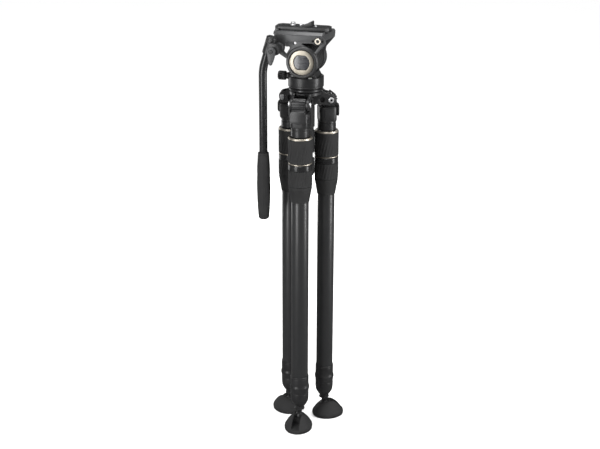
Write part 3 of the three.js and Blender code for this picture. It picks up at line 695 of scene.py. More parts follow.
def lower_cone():
    low, high = heights("front_lower_collar")
    seat = 553.2
    return turned([(18.3, low), (19.0, low), (19.6, low + 0.7), (19.6, low + 4), (19.9, low + 5, 1),
                   (23.9, seat - 7, 3), (24.4, seat - 5), (24.4, seat), (20.1, seat), (20.1, high),
                   (15.4, high), (15.4, 560.6), (18.3, 560.6)], 0.35, 96, closed=True)


def carbon_tube(node, inner):
    low, high = heights(node)
    outer = half_width(node)
    return turned([(inner, low), (outer, low), (outer, high), (inner, high)], 0.3, 96, closed=True)


def middle_carbon():
    low = heights("front_middle_tube")[0]
    high = TRIM_LOW - 0.1
    return turned([(12.8, low), (15, low), (15, high), (12.8, high)], 0.3, 96, closed=True)


SOCKET_DROP = 2.4  # the cast lip under the socket


def end_socket():
    low, high = heights("front_end_socket")
    low -= SOCKET_DROP
    return turned([
        (4.3, low), (11.6, low), (12.7, low + 1, 1), (15.6, low + 5.5, 3), (18.4, low + 11.5, 5),
        (19.4, 73, 2), (19.4, 82.0), (19.0, 82.4), (19.0, 83.2), (19.4, 83.6), (19.7, 89.5, 3),
        (20.9, 94.7, 1), (20.9, 97.9, 1), (19.7, 101.9, 1.5), (19.5, 103), (19.5, 118.4), (19.1, 118.8),
        (19.1, 119.6), (19.5, 120), (19.5, high - 0.9), (18.6, high), (18.3, high), (18.3, 99.7),
        (4.3, 99.7),
    ], 0.35, 96, closed=True)


def ball_stud():
    low, high = heights("front_ball_stud")
    ball_r, ball_z = 10.4, 24.0
    start = math.asin(4.6 / ball_r)
    profile = [(0.01, ball_z - ball_r)]
    for i in range(1, 17):
        angle = math.pi - (i / 16) * (math.pi - start)
        profile.append((ball_r * math.sin(angle), ball_z + ball_r * math.cos(angle), 0))
    profile += [(5.0, 36, 2), (5.6, 39), (5.6, 41.1), (8.6, 42.1, 0.6), (10.6, 42.9, 0.4), (10.9, 43.9),
                (10.9, 45.1), (9.8, 45.7), (9.4, 46.1), (9.4, 50.8), (8.6, 51.7), (4, 51.7), (4, high),
                (0.01, high)]
    hexagon = polygon_at(9.0, 6)

    def nut(angle, z, r):
        return min(r * 1.14, hexagon(angle)) if 45.9 < z < 51.4 and r > 8.5 else r

    return turned(profile, 0.25, 72, nut)


def foot():
    """A conical rubber foot with a deep slot, a cup for the ball and a shallow tread."""
    low = heights("front_foot")[0]
    rim, length, offset = 30.0, 35.0, 9.0
    profile = [(0.01, low + 1.2), (20, low + 1.2), (20.6, low), (22.4, low), (23, low + 1.2),
               (25, low + 1.2), (25.6, low), (28, low), (29.2, low + 1, 1.2), (rim, low + 5.6, 2),
               (29.2, 9.8, 4), (24.2, 18.6, 12), (18.4, 26, 12), (12, 32.4, 4), (0.01, 34.6)]
    cone = turned(profile, 0.4, 96)
    cone.transform(Matrix.Translation((offset, 0, 0)) @ Matrix.Diagonal((length / rim, 1, 1, 1)))
    cup = turned([(11 * math.sin(a), 24 + 11 * math.cos(a), 0)
                  for a in (math.pi * (1 - i / 20) for i in range(21))], 0, 64)
    mouth = turned([(0.01, 24), (3.5, 24), (17, 42), (0.01, 42)], 0, 64)
    slot = box_mesh(0, 16, -6.2, 6.2, 24, 44, 1.5)
    recess_side = [(13, 9.5, 1), (60, 9.5, 0), (60, 50, 0), (13, 50, 0)]
    recess = upright(plate(recess_side, 17.4, 0.8, soft=1.5), -8.7, 8.7)
    return carved(cone, cup, mouth, slot, recess)


LEG_PIECES = (
    ("shoulder", shoulder_casting, BLACK, "leg", ("shoulder",)),
    ("shoulder_panels", side_panels, BLACK, "leg", ()),
    ("angle_tab", angle_tab, BLACK, "tab", ("angle_tab",)),
    ("top_tube", lambda: carbon_tube("front_top_tube", 10.5), CARBON, "leg", ("top_tube",)),
    ("middle_tube", middle_carbon, CARBON, "middle_stage", ("middle_tube",)),
    ("middle_trim", middle_trim, GOLD, "middle_stage", ()),
    ("middle_thread", middle_thread, BLACK, "middle_stage", ()),
    ("upper_lock_sleeve", upper_sleeve, RUBBER, "upper_lock", ("upper_lock_ring",)),
    ("upper_lock_gold", upper_gold, GOLD, "upper_lock", ()),
    ("upper_lock_nut", upper_inner, BLACK, "upper_lock", ()),
    ("lower_lock_sleeve", lower_sleeve, RUBBER, "lower_lock", ("lower_lock_ring",)),
    ("lower_lock_band", lower_band, SATIN, "lower_lock", ()),
    ("lower_collar", lower_cone, RUBBER, "lower_stage", ("lower_collar",)),
    ("lower_tube", lambda: carbon_tube("front_lower_tube", 15.8), CARBON, "lower_stage", ("lower_tube",)),
    ("end_socket", end_socket, BLACK, "lower_stage", ("end_socket",)),
    ("ball_stud", ball_stud, BLACK, "stud", ("ball_stud",)),
    ("foot", foot, RUBBER, "foot", ("foot",)),
)

for piece, build, material, body, nodes in LEG_PIECES:
    add_per_leg(f"*_{piece}_look", build(), material, f"*_{body}", *(f"*_{node}" for node in nodes))
# Near-black discs in the pivot bolts' hexagon sockets: painted shade.
add_per_leg("*_bolt_socket", painted_shade_socket_disc(), SHADOW, "hub")
add_per_leg("*_pivot_bolt_look", pivot_bolt(), STEEL, "hub", "*_pivot_bolt")


# ---------------------------------------------------------------- hub, tie-down handle and levelling base
def hub_casting():
    """Two cheeks with an oval window for each leg, a lug between them, and the core they grow from."""
    low, high = heights("hub")
    pivot_r = PIVOT_X + LEG_RING
    outline = [(8, 716, 1), (22, 714, 4), (pivot_r - 8, PIVOT_Z - 10.5, 3)]
    outline += arc(pivot_r, PIVOT_Z, 11.9, -120, 105, 20)
    outline += [(35.4, 737.6, 3), (31.5, high, 1), (8, high, 1)]
    window = arc(28.6, 722.4, 5.6, 0, 360, 24)[:-1]
    shells = []
    for leg in LEGS:
        place = leg_frame(leg)
        turn = Matrix.Rotation(math.atan2(place[1][0], place[0][0]), 4, "Z")
        for side in (-1, 1):
            cheek = upright(plate(outline, 5.5, 0.8, (window,), soft=2), side * 16.75 - 2.75,
                            side * 16.75 + 2.75)
            washer = turned([(5, 0), (9.6, 0), (9.6, 0.5), (8.8, 0.9), (5, 0.9)], 0.2, 48, closed=True)
            washer.transform(Matrix.Rotation(-side * math.pi / 2, 4, "X"))
            shifted(washer, pivot_r, side * 18.9, PIVOT_Z)
            bridge = box_mesh(16, 27, side * 16 - 3, side * 16 + 3, 728, high - 0.6, 0.8)
            wall = side * 12.4
            back = box_mesh(20, 35, wall - 1.7, wall + 1.7, 715.5, 730.5, 0.5)
            for shell in (cheek, washer, bridge, back):
                shell.transform(turn)
                shells.append(shell)
        # this outline clears the ribs of a spread leg's tab when the tab is pulled
        lug_outline = [(28, 732, 0), (34, 733, 1), (36.2, 736, 2), (39.5, 738.9, 0.4), (39.9, 739.5, 0.3),
                       (38.6, 740.3, 0.6), (28, 740.3, 0)]
        lug = upright(plate(lug_outline, 12.4, 1.6), -6.2, 6.2)
        lug.transform(turn)
        shells.append(lug)
    disc = turned([(4.3, 731), (29.6, 731), (33, 734.4, 1), (33, high - 1), (32, high), (4.3, high)], 0.5,
                  closed=True)
    core = turned([(4.3, low), (18, low), (21, low + 3, 1), (21, 732), (4.3, 732)], 0.5, closed=True)
    return joined(disc, core, *shells)


def tie_down():
    low, high = heights("tie_down_handle")
    grip = 18.0
    body = high - 34
    profile = [(0.01, low), (13, low, 2), (17, low + 3.5, 3)]
    profile += column(grip, low + 8, 597.4, 10)
    profile += [(14.6, 599.5), (14.6, 609.5)]
    profile += column(grip, 611.4, 656.6, 12)
    profile += [(16.1, 658.5), (16.1, 664)]
    profile += column(grip, 665.8, body - 6, 8)
    profile += [(grip, 706), (grip - 2, body), (4, body), (4, body + 34 - 0.4), (0.01, body + 34)]
    lower = flutes(24, 0.7, low + 7, 598, 0, 3)
    upper = flutes(24, 0.7, 611, 657, 0, 3)

    def relief(angle, z, r):
        return upper(angle, z, lower(angle, z, r)) if r > 17.5 else r

    return turned(profile, 0.4, 192, relief)


def levelling_base():
    low, high = heights("levelling_base")
    return turned([(4.4, low), (31.5, low), (34.2, low + 1, 1), (35, low + 3.2, 1.2), (34.2, low + 5.4, 1),
                   (32.6, low + 6.6, 0.6), (32.2, low + 7.7), (10, low + 7.7), (10, high), (4.4, high)], 0.4,
                   128, closed=True)


add("hub_look", hub_casting(), HEAD, BLACK, "hub", "hub")
add("levelling_base_look", levelling_base(), HEAD, SATIN, "hub", "levelling_base")
add("tie_down_handle_look", tie_down(), HEAD, RUBBER, "tie_down", "tie_down_handle")


# ---------------------------------------------------------------- pan housing, knobs and level
LEDGE = 771.3


def pan_housing():
    low, high = heights("pan_housing")
    r, half = 36.0, 22.0
    barrel = turned([(10.3, low), (34.6, low), (r, low + 1.2, 0.8), (r, low + 3.2), (r - 0.6, low + 3.6),
                     (r - 0.6, low + 4.4), (r, low + 4.8), (r, LEDGE - 1.2), (r - 1.2, LEDGE, 0.8),
                     (10.3, LEDGE)], 0.3, 128, closed=True)
    outline = [(-27, LEDGE - 3, 0), (27, LEDGE - 3, 0), (27, LEDGE, 1.5), (22, high, 1.2)]
    outline += [(x, z, 0) for x, z, _ in arc(0, TILT_Z, 30.4, -52, -128, 20)]
    outline += [(-22, high, 1.2), (-27, LEDGE, 1.5)]
    crown = upright(plate(outline, 2 * half, 1.2, soft=0.5), -half, half)
    limit = turned([(0.01, low - 5), (r - 0.3, low - 5), (r - 0.3, high + 5), (0.01, high + 5)], 0, 128)
    return joined(barrel, carved(crown, limit, operation="INTERSECT"))


def knob_boss(z, azimuth):
    boss = turned([(3, 34.6), (7.2, 34.6), (7.2, 37.8), (6.4, 38.8), (3, 38.8)], 0.3, 48, closed=True)
    return pointing(boss, z, azimuth)


def fluted_knob(z, azimuth):
    far = 57.4
    profile = [(0.01, 25), (2.5, 25), (2.5, 39.2), (6.2, 39.2), (6.4, 41), (8.4, 41.6, 0.6)]
    profile += column(9, 42.8, far - 1.8, 8)
    profile += [(7.6, far), (5.6, far), (5.2, far - 0.8), (0.01, far - 0.8)]

    def relief(angle, height, r):
        if r < 7 or height < 41.4:
            return r
        return r - 1.0 * max(math.cos(12 * angle), -0.2)

    return pointing(turned(profile, 0.3, 144, relief), z, azimuth)


PAN_KNOB_Z = centre("pan_lock_knob").z / MM
TILT_KNOB_Z = centre("tilt_lock_knob").z / MM
PAN_KNOB_TURN = math.pi
TILT_KNOB_TURN = math.radians(118)  # on the far side, a little to the rear
LEVEL = (centre("bubble_level") - AXIS) / MM


def level_rim():
    rim = turned([(2.4, LEDGE - 1), (4.2, LEDGE - 1), (4.2, LEDGE + 0.6), (3.8, LEDGE + 1), (2.8, LEDGE + 1),
                  (2.4, LEDGE + 0.7)], 0.15, 48, closed=True)
    return shifted(rim, LEVEL.x, LEVEL.y)


def level_fluid():
    dome = turned([(0.01, LEDGE - 1), (2.3, LEDGE - 1), (2.3, LEDGE + 0.3), (1.4, LEDGE + 0.6, 1),
                   (0.01, LEDGE + 0.65)], 0.2, 48)
    return shifted(dome, LEVEL.x, LEVEL.y)


add("pan_housing_look", pan_housing(), HEAD, BLACK, "pan_body", "pan_housing")
add("pan_knob_boss", knob_boss(PAN_KNOB_Z, PAN_KNOB_TURN), HEAD, BLACK, "pan_body")
add("tilt_knob_boss", knob_boss(TILT_KNOB_Z, TILT_KNOB_TURN), HEAD, BLACK, "pan_body")
add("pan_lock_knob_look", fluted_knob(PAN_KNOB_Z, PAN_KNOB_TURN), HEAD, BLACK, "pan_knob", "pan_lock_knob")
add("tilt_lock_knob_look", fluted_knob(TILT_KNOB_Z, TILT_KNOB_TURN), HEAD, BLACK, "tilt_knob",
    "tilt_lock_knob")
add("level_rim", level_rim(), HEAD, STEEL, "pan_body")
add("level_fluid", level_fluid(), HEAD, FLUID, "pan_body", "bubble_level")


# ---------------------------------------------------------------- tilt drum, side plates and caps
def about_tilt(mesh):
    return along_minus_y(mesh, 0, TILT_Z)


def drum():
    grooves = []
    for y in (-18, -6, 6, 18):
        grooves += [(30, y - 2, 0.3), (28.6, y - 1.2, 0.3), (28.6, y + 1.2, 0.3), (30, y + 2, 0.3)]
    return about_tilt(turned([(0.01, -33), (8, -33), (8, -26.2), (28.5, -26.2), (30, -24.7)] + grooves
                             + [(30, 24.7), (28.5, 26.2), (8, 26.2), (8, 33), (0.01, 33)], 0.3, 96))


def side_disc(side):
    profile = [(8.3, 27), (31.4, 27), (32, 27.6), (32, 32.4), (31.4, 33), (8.3, 33)]
    return about_tilt(turned([(r, side * out) for r, out in profile], 0.3, 128, closed=True))


def rosette_boss(side, face):
    """The round boss behind the pan bar, and the spare one on the far side."""
    profile = [(0.01, 28), (10.5, 28), (10.5, face - 0.8), (9.8, face), (0.01, face)]
    return along_minus_y(turned([(r, side * out) for r, out in profile], 0.3, 64), -47.5, 831)


def near_plate():
    """A web under the clamp and a disc round the tilt axis, with two struts between them."""
    outline = [(-57, 857.2, 1), (-58, 838, 6), (-54, 824, 5), (-46, 818, 5), (-30, 808, 0), (-20, 790, 0),
               (20, 790, 0), (30, 815, 0), (28.4, 820.4, 2), (47.6, 842, 2.5), (46.8, 848, 4),
               (39.7, 857.2, 1.5)]
    rear_window = [(-36, 841, 2), (-24.5, 832, 2.5), (-32.4, 818.6, 1.5), (-37.5, 823.5, 2), (-36, 830, 3)]
    front_window = [(-3, 841, 1.5), (18, 842, 5), (37, 841, 2), (25.4, 825.4, 1.5), (18, 831, 4),
                    (8, 835.4, 4)]
    hole = arc(-14.8, 841, 3, 0, 360, 20)[:-1]
    web = upright(plate(outline, 6, 0.8, (rear_window, front_window, hole)), -33, -27)
    return joined(web, side_disc(1), rosette_boss(1, 40))


def far_plate():
    """The far side plate runs further forward and has a slot in its front strut."""
    outline = [(-57, 857.2, 1), (-58, 840, 6), (-54, 829, 5), (-46, 823, 5), (-30, 811, 0), (-20, 793, 0),
               (20, 790, 0), (31, 811, 0), (34.2, 826, 3), (51, 846, 3), (52, 857.2, 1.5)]
    rear_window = [(-36, 841, 2), (-24.5, 832, 2.5), (-31, 824, 1.5), (-36.5, 828, 2), (-36, 831, 3)]
    front_window = [(1.5, 840.6, 2), (33, 840.6, 2), (23.8, 830.4, 1.5), (13.5, 836.8, 4)]
    slot = [(34.8, 845.2, 2), (38, 843.4, 2), (47.4, 850.6, 2), (47, 854.2, 1.5), (43.6, 854.2, 1.5)]
    web = upright(plate(outline, 6, 0.8, (rear_window, front_window, slot)), 27, 33)
    return joined(web, side_disc(-1), rosette_boss(-1, 36))


def front_cap():
    return about_tilt(turned([(0.01, 33.3), (31.5, 33.3), (32, 33.9), (32, 35.4, 0.8), (30.6, 37.2, 1.2),
                              (26.8, 37.5, 0.6), (26.0, 36.9, 0.4), (25.2, 36.6, 0.3), (25.2, 35, 0.2),
                              (0.01, 35)], 0.3, 160))


def rear_cap():
    """A wide dial with a shallow dished face and a finely notched rim."""
    face = (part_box("rear_cap")[1][1] - AXIS.y) / MM
    profile = [(0.01, -face + 1.4), (20, -face + 1.4, 1), (22.6, -face + 0.2, 1), (25, -face, 1),
               (31.8, -face, 1), (33.2, -face + 1.6, 1), (33.2, -38.2, 0.4), (32.4, -37.2, 0.4),
               (31.8, -36.9), (31.8, -33.3), (0.01, -33.3)]

    def notch(angle, z, r):
        return r - 0.35 * (0.5 + 0.5 * math.cos(60 * angle)) if r > 32.8 else r

    return about_tilt(turned(profile, 0.3, 360, notch))


RING_R = half_width("front_gold_ring")
BADGE_R, BADGE_FLAT = 16.5, 14.7


def clipped(radius, flat):
    """The radius, by angle, of a disc whose top and bottom are cut off flat."""
    return lambda angle: min(radius, flat / max(abs(math.sin(angle)), 1e-6))


def shaped_rows(steps, segments=160):
    """Rings about the tilt axis from (radius by angle, distance out along -Y)."""
    rows = []
    for radius, out in steps:
        row = []
        for i in range(segments):
            angle = i / segments * TAU
            r = radius(angle)
            row.append((r * math.cos(angle), -out, TILT_Z + r * math.sin(angle)))
        rows.append(row)
    return rows


def badge_edge(grow):
    return clipped(BADGE_R + grow, BADGE_FLAT + grow)


def gold_ring():
    steps = [
        (circle_at(RING_R - 0.3), 35.4), (circle_at(RING_R), 35.7), (circle_at(RING_R), 36.2),
        (circle_at(RING_R - 0.5), 36.7), (badge_edge(1.3), 38.1), (badge_edge(0.5), 38.0),
        (badge_edge(0.1), 37.5), (badge_edge(0), 35.4), (circle_at(RING_R - 0.3), 35.4),
    ]
    return skin(shaped_rows(steps), capped=False)


def badge():
    edge = badge_edge(-0.2)

    def scaled(share):
        return lambda angle: edge(angle) * share

    steps = [(edge, 35.3), (edge, 36.9), (badge_edge(-0.8), 37.3)]
    for share in (0.9, 0.75, 0.6, 0.45, 0.3, 0.15, 0.02):
        steps.append((scaled(share), 37.3 + 0.7 * (1 - share ** 2)))
    return skin(shaped_rows(steps))


add("tilt_drum_look", drum(), HEAD, BLACK, "pan_body", "tilt_drum")
add("front_side_plate_look", near_plate(), HEAD, GREY, "tilt_head", "front_side_plate")
add("rear_side_plate_look", far_plate(), HEAD, GREY, "tilt_head", "rear_side_plate")
add("front_cap_look", front_cap(), HEAD, BLACK, "tilt_head", "front_cap")
add("rear_cap_look", rear_cap(), HEAD, BLACK, "tilt_head", "rear_cap")
# The front ring uses the darker copy of the champagne metal: painted shade.
add("front_gold_ring_look", gold_ring(), HEAD, SHADED_RING_GOLD, "tilt_head", "front_gold_ring")
add("front_badge_look", badge(), HEAD, BADGE, "tilt_head", "front_badge")


# ---------------------------------------------------------------- plate clamp and its accessory thread
SOCKET = (centre("accessory_socket") - AXIS) / MM
PAD_HOLE_R = 6.1


def eye_outline(half, tall, steps=16):
    """A lens shape with pointed ends left and right of the accessory thread."""
    top = [(SOCKET.x - half * math.cos(math.pi * i / steps),
            SOCKET.z + tall * math.sin(math.pi * i / steps) ** 1.4, 0)
           for i in range(steps + 1)]
    bottom = [(2 * SOCKET.x - x, 2 * SOCKET.z - z, 0) for x, z, _ in top[1:-1]]
    return top + bottom


def accessory_pad():
    holes = [arc(SOCKET.x, SOCKET.z, PAD_HOLE_R, 0, 360, 28)[:-1]]
    holes += [arc(SOCKET.x + side * 9.4, SOCKET.z, 2.1, 0, 360, 14)[:-1] for side in (-1, 1)]
    return upright(plate(eye_outline(13.2, 8.2), 1.6, 0.4, holes, soft=0), -34.2, -32.6)


def painted_shade_bore_discs():
    # Painted shade: near-black discs behind the two pin holes and deep in the accessory thread, where these
    # bores are in shade.
    discs = []
    for side in (-1, 1):
        floor = turned([(0.01, 33.05), (2.3, 33.05), (2.3, 33.3), (0.01, 33.3)], 0, 24)
        discs.append(along_minus_y(floor, SOCKET.x + side * 9.4, SOCKET.z))
    discs.append(along_minus_y(turned([(0.01, 28), (3.2, 28), (3.2, 31), (0.01, 31)], 0, 24), SOCKET.x,
                               SOCKET.z))
    return joined(*discs)


def accessory_thread():
    profile = [(6, 28), (6, 34.8), (5.5, 35.3), (3.6, 35.3), (3.3, 34.9)]
    profile += column(3.1, 34.4, 28.4, 34) + [(3.4, 28)]
    inside = thread(1.27, 0.18, 28.6, 34.2)

    def relief(angle, z, r):
        return inside(angle, z, r) if r < 3.45 else r

    return along_minus_y(turned(profile, 0.2, 64, relief, closed=True), SOCKET.x, SOCKET.z)


def clamp_casting():
    low, high = heights("clamp_body")
    rear = (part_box("clamp_body")[0][0] - AXIS.x) / MM
    shelf, half, inside = 857.2, 33.0, 26.7
    section = [(-inside, low), (inside, low), (inside, shelf), (half, shelf), (half, shelf + 0.8),
               (26.8, high), (15.4, high), (18, 859.2), (-18, 859.2), (-15.4, high), (-26.8, high),
               (-half, shelf + 0.8), (-half, shelf), (-inside, shelf)]
    near_front, far_front = 40.0, 52.0

    def slant(y):
        return near_front + (far_front - near_front) * (y + half) / (2 * half)

    return extruded(section, rear, far_front, 0.45, slant)


def clamp_rack():
    """Small teeth along the top of the clamp's near rail, and the lug at its rear end."""
    teeth = [box_mesh(x, x + 3.4, -24.6, -20.6, 862.6, 863.9, 0.4)
             for x in (-44 + 6.2 * i for i in range(9))]
    return joined(*teeth, box_mesh(-57.6, -50.6, -25, -19.6, 862.6, 866.4, 0.7))


def side_screws():
    """Low socket screws that hold the far side plate to the clamp."""
    hexagon = polygon_at(1.25, 6)
    shells = []
    for x, z in ((8, 850.5), (40, 851), (-44, 850)):
        profile = [(0.01, 32.6), (2.9, 32.6), (2.9, 33.25), (2.5, 33.5), (1.4, 33.5, 0), (1.4, 32.8, 0),
                   (0.01, 32.8)]
        head = turned(profile, 0.15, 36, lambda a, h, r: hexagon(a) if 1.3 < r < 1.5 else r)
        shells.append(along_plus_y(head, x, z))
    return joined(*shells)


def lock_knob():
    place = (centre("plate_lock_knob") - AXIS) / MM
    far = (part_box("plate_lock_knob")[1][1] - AXIS.y) / MM
    profile = [(0.01, 16), (4, 16), (4, 33.5), (6.6, 33.5), (8.0, 35, 0.6)] + column(8.5, 36, far - 1.8, 6)
    profile += [(7, far), (5, far), (4.6, far - 0.7), (0.01, far - 0.7)]

    def relief(angle, z, r):
        return r - 0.8 * max(math.cos(10 * angle), -0.2) if r > 6.9 and z > 35.5 else r

    return along_plus_y(turned(profile, 0.3, 120, relief), place.x, place.z)


add("clamp_body_look", clamp_casting(), HEAD, GREY, "tilt_head", "clamp_body")
add("clamp_rack", clamp_rack(), HEAD, GREY, "tilt_head")
add("side_plate_screws", side_screws(), HEAD, SATIN, "tilt_head")
add("accessory_pad", accessory_pad(), HEAD, BLACK, "tilt_head")
add("accessory_thread_look", accessory_thread(), HEAD, GOLD, "tilt_head", "accessory_socket")
# Near-black discs in the pin holes and the accessory thread: painted shade.
add("accessory_bores_painted_shade", painted_shade_bore_discs(), HEAD, SHADOW, "tilt_head")
add("plate_lock_knob_look", lock_knob(), HEAD, BLACK, "plate_knob", "plate_lock_knob")


# ---------------------------------------------------------------- camera plate and what is on it
PLATE_LOW, PLATE_TOP = 863.4, 870.0
STRIP_TOP = heights("camera_plate")[1]


def camera_plate():
    rear, front, half, corner = (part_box("camera_plate")[0][0] - AXIS.x) / MM, 49.0, 19.0, 7.0
    outline = [(rear, -half + corner), (rear + corner, -half), (front - corner, -half),
               (front, -half + corner), (front, half - corner), (front - corner, half),
               (rear + corner, half), (rear, half - corner)]
    slot = [(-47, -3.4, 3.3), (-2, -3.4, 3.3), (-2, 3.4, 3.3), (-47, 3.4, 3.3)]
    top = plate(outline, PLATE_TOP - PLATE_LOW, 0.7, (slot,), soft=1.2)
    shifted(top, z=(PLATE_TOP + PLATE_LOW) / 2)
    rails = []
    for side in (-1, 1):
        section = [(side * 10, 859.7), (side * 17.5, 859.7), (side * 15.2, PLATE_LOW + 0.6),
                   (side * 10, PLATE_LOW + 0.6)]
        rails.append(extruded(section, rear + 1, front - 1, 0.3))
    return joined(top, *rails)


def plate_pads():
    """Ribbed rubber strips, let into the top of the plate behind and in front of the stop."""
    strips = []
    for side in (-1, 1):
        y0, y1 = sorted((side * 7.0, side * 16.4))
        for rear, front in ((-54, -9), (17, 44)):
            strips.append(box_mesh(rear, front, y0, y1, PLATE_TOP - 0.6, PLATE_TOP + 0.15, 0.1))
            for i in range(int((front - rear - 1) / 3)):
                x = rear + 1.2 + 3 * i
                strips.append(box_mesh(x, x + 1.7, y0 + 0.8, y1 - 0.8, PLATE_TOP - 0.2, STRIP_TOP, 0.15))
    return joined(*strips)


def camera_stud():
    x = (centre("camera_screw").x - AXIS.x) / MM
    low, high = heights("camera_screw")
    profile = [(0.01, low), (7.6, low), (8, low + 0.5), (8, 864), (3.2, 864), (3.2, PLATE_TOP),
               (5.6, PLATE_TOP + 0.2, 0.3), (5.6, PLATE_TOP + 2.2, 0.4), (4.9, PLATE_TOP + 2.6, 0)]
    profile += column(4.6, PLATE_TOP + 2.8, high - 0.9, 16) + [(3.9, high), (0.01, high)]
    stud = turned(profile, 0.2, 64, thread(1.59, 0.15, PLATE_TOP + 2.9, high - 1.1))
    return shifted(stud, x)


def spare_screws():
    """The second screw's slotted head and the small locating pin in front of the stop."""
    head = turned([(0.01, PLATE_TOP - 1), (3.6, PLATE_TOP - 1), (3.6, PLATE_TOP + 2.8, 0.5),
                   (2.8, PLATE_TOP + 3.3, 0.3), (1.3, PLATE_TOP + 3.3, 0), (1.3, PLATE_TOP + 2.3, 0),
                   (0.01, PLATE_TOP + 2.3)], 0.2, 48)
    pin = turned([(0.01, PLATE_TOP - 1), (2.2, PLATE_TOP - 1), (2.2, PLATE_TOP + 2.0, 0.6),
                  (0.01, PLATE_TOP + 2.5)], 0.3, 36)
    return joined(shifted(head, -10.6), shifted(pin, 19.5))


def camera_stop():
    """A wedge that keeps the camera from turning, stepped on its rear slope."""
    low, high = heights("camera_stop")
    outline = [(-6, low, 0.3), (14, low, 0.3), (14, high - 0.7, 0.5), (12.4, high, 0.5),
               (10, high - 0.7, 0.5)]
    for i in range(4):
        x, z = 8.6 - 2.1 * i, high - 1.8 - 1.25 * i
        outline += [(x, z, 0.2), (x - 1.2, z - 0.2, 0.2)]
    outline += [(-6, low + 1.6, 0.5)]
    return upright(plate(outline, 18, 0.4, soft=0.4, steps=2), -9, 9)


add("camera_plate_look", camera_plate(), HEAD, BLACK, "slide_plate", "camera_plate")
add("plate_pads", plate_pads(), HEAD, RUBBER, "slide_plate")
add("plate_spare_screws", spare_screws(), HEAD, STEEL, "slide_plate")
add("camera_stop_look", camera_stop(), HEAD, BLACK, "slide_plate", "camera_stop")
add("camera_screw_look", camera_stud(), HEAD, STEEL, "plate_screw", "camera_screw")


# ---------------------------------------------------------------- pan bar, grip, bracket and lever
BAR = (centre("bar_grip") - AXIS) / MM
BAR_R, BEND_Z, BEND_HALF = 8.3, 792.0, 14.0
LEAN = math.radians(17)
LEVER_X, LEVER_Z = -51.4, 830.4


def bar_point(z):
    """The bar's axis: straight up, a short bend, then leaning forward."""
    past = min(max((z - (BEND_Z - BEND_HALF)) / (2 * BEND_HALF), 0), 1)
    run = z - BEND_Z if past == 1 else BEND_HALF * past * past
    return Vector((BAR.x + run * math.tan(LEAN), BAR.y, z))


def lean_place(z):
    """A frame on the bar's leaning end, with its Z along the bar."""
    return Matrix.Translation(bar_point(z)) @ Matrix.Rotation(LEAN, 4, "Y")


def pan_bar():
    low = heights("bar_grip")[0] + 12
    top = heights("pan_bar")[1] - 2
    levels = [low, BEND_Z - BEND_HALF]
    levels += [BEND_Z - BEND_HALF + BEND_HALF * i / 8 for i in range(1, 17)]
    levels += [top]
    return swept([bar_point(z) for z in levels], BAR_R, 48)


def dense(profile, longest):
    """Divides the long runs of a profile, so that relief can bend them."""
    points = []
    for start, end in zip(profile, profile[1:]):
        points.append(start)
        outer = start[0] > 10.7 and end[0] > 10.7
        count = math.ceil(math.dist(start[:2], end[:2]) / longest) if outer else 1
        for i in range(1, count):
            t = i / count
            points.append((start[0] + (end[0] - start[0]) * t, start[1] + (end[1] - start[1]) * t, 0))
    return points + [profile[-1]]


def grip():
    """A soft grip that is widest below the middle, with faint long grooves."""
    low, high = heights("bar_grip")
    profile = [(0.01, low), (8, low + 0.3, 2), (10.6, low + 3, 3), (11.2, low + 7, 1), (10.8, low + 7.5),
               (10.8, low + 8.3), (11.4, low + 8.8), (12.6, low + 26, 12), (13.5, low + 45, 12),
               (14, low + 72, 20)]
    profile += [(13.7, low + 90, 20), (13, high - 28, 12), (11.6, high - 6, 3), (11.2, high - 5.2),
                (11.2, high - 4.2), (11.5, high - 3.6), (10.8, high, 0.8), (8.6, high), (8.6, low + 11),
                (0.01, low + 11)]
    mesh = turned(dense(profile, 6), 0.3, 160, flutes(20, 0.22, low + 12, high - 10, 0, 10, sharp=2.5))
    return shifted(mesh, BAR.x, BAR.y)


def bracket():
    """The sleeve that clamps the bar, the arm that reaches the rosette, and the pinch screw's boss."""
    sleeve = turned([(8.6, -16.5), (9.9, -16.5), (10.8, -15.6), (10.8, -3.4), (10.4, -3.0), (10.4, -2.0),
                     (10.8, -1.6), (10.8, 17), (9.9, 18.2), (8.6, 18.2)], 0.4, 96, closed=True)
    sleeve.transform(lean_place(838.5))
    arm_outline = [(-63, 824, 4), (-50, 820, 4), (-38.6, 824, 4), (-37, 834, 4), (-42, 843, 4),
                   (-50, 845, 3), (-58, 846, 3)]
    arm = upright(plate(arm_outline, 20.6, 1.4), -68.2, -47.6)

    def serration(angle, z, r):
        return r - 0.35 * (0.5 + 0.5 * math.cos(36 * angle)) if r > 10 else r

    rosette = [(0.01, 40.4), (9.6, 40.4), (10.5, 41.2), (10.5, 49.5), (0.01, 49.5)]
    rosette = along_minus_y(turned(rosette, 0.3, 144, serration), -47.5, 831)
    boss = along_minus_y(turned([(0.01, 56), (6.2, 56), (6.2, 66.4), (5.6, 67.2), (4.2, 67.2, 0.3),
                                 (3.9, 66.4, 0.3), (0.01, 66.2)], 0.4, 48), -58.6, 851)
    cap = turned([(0.01, 0), (8.2, 0), (8.2, 1.2, 0.8), (0.01, 2.0)], 0.4, 64)
    cap.transform(lean_place(856))
    return joined(sleeve, arm, rosette, boss, cap)


def lever_nut():
    """The lever's domed nut."""
    profile = [(0.01, 75), (3.8, 75), (3.8, 76.6, 0.4), (3.0, 77.2, 0.4), (1.7, 77.2, 0), (1.7, 76.2, 0),
               (0.01, 76.2)]
    hexagon = polygon_at(1.5, 6)
    nut = turned(profile, 0.2, 36, lambda a, h, r: hexagon(a) if 1.6 < r < 1.8 else r)
    return along_minus_y(nut, LEVER_X, LEVER_Z)


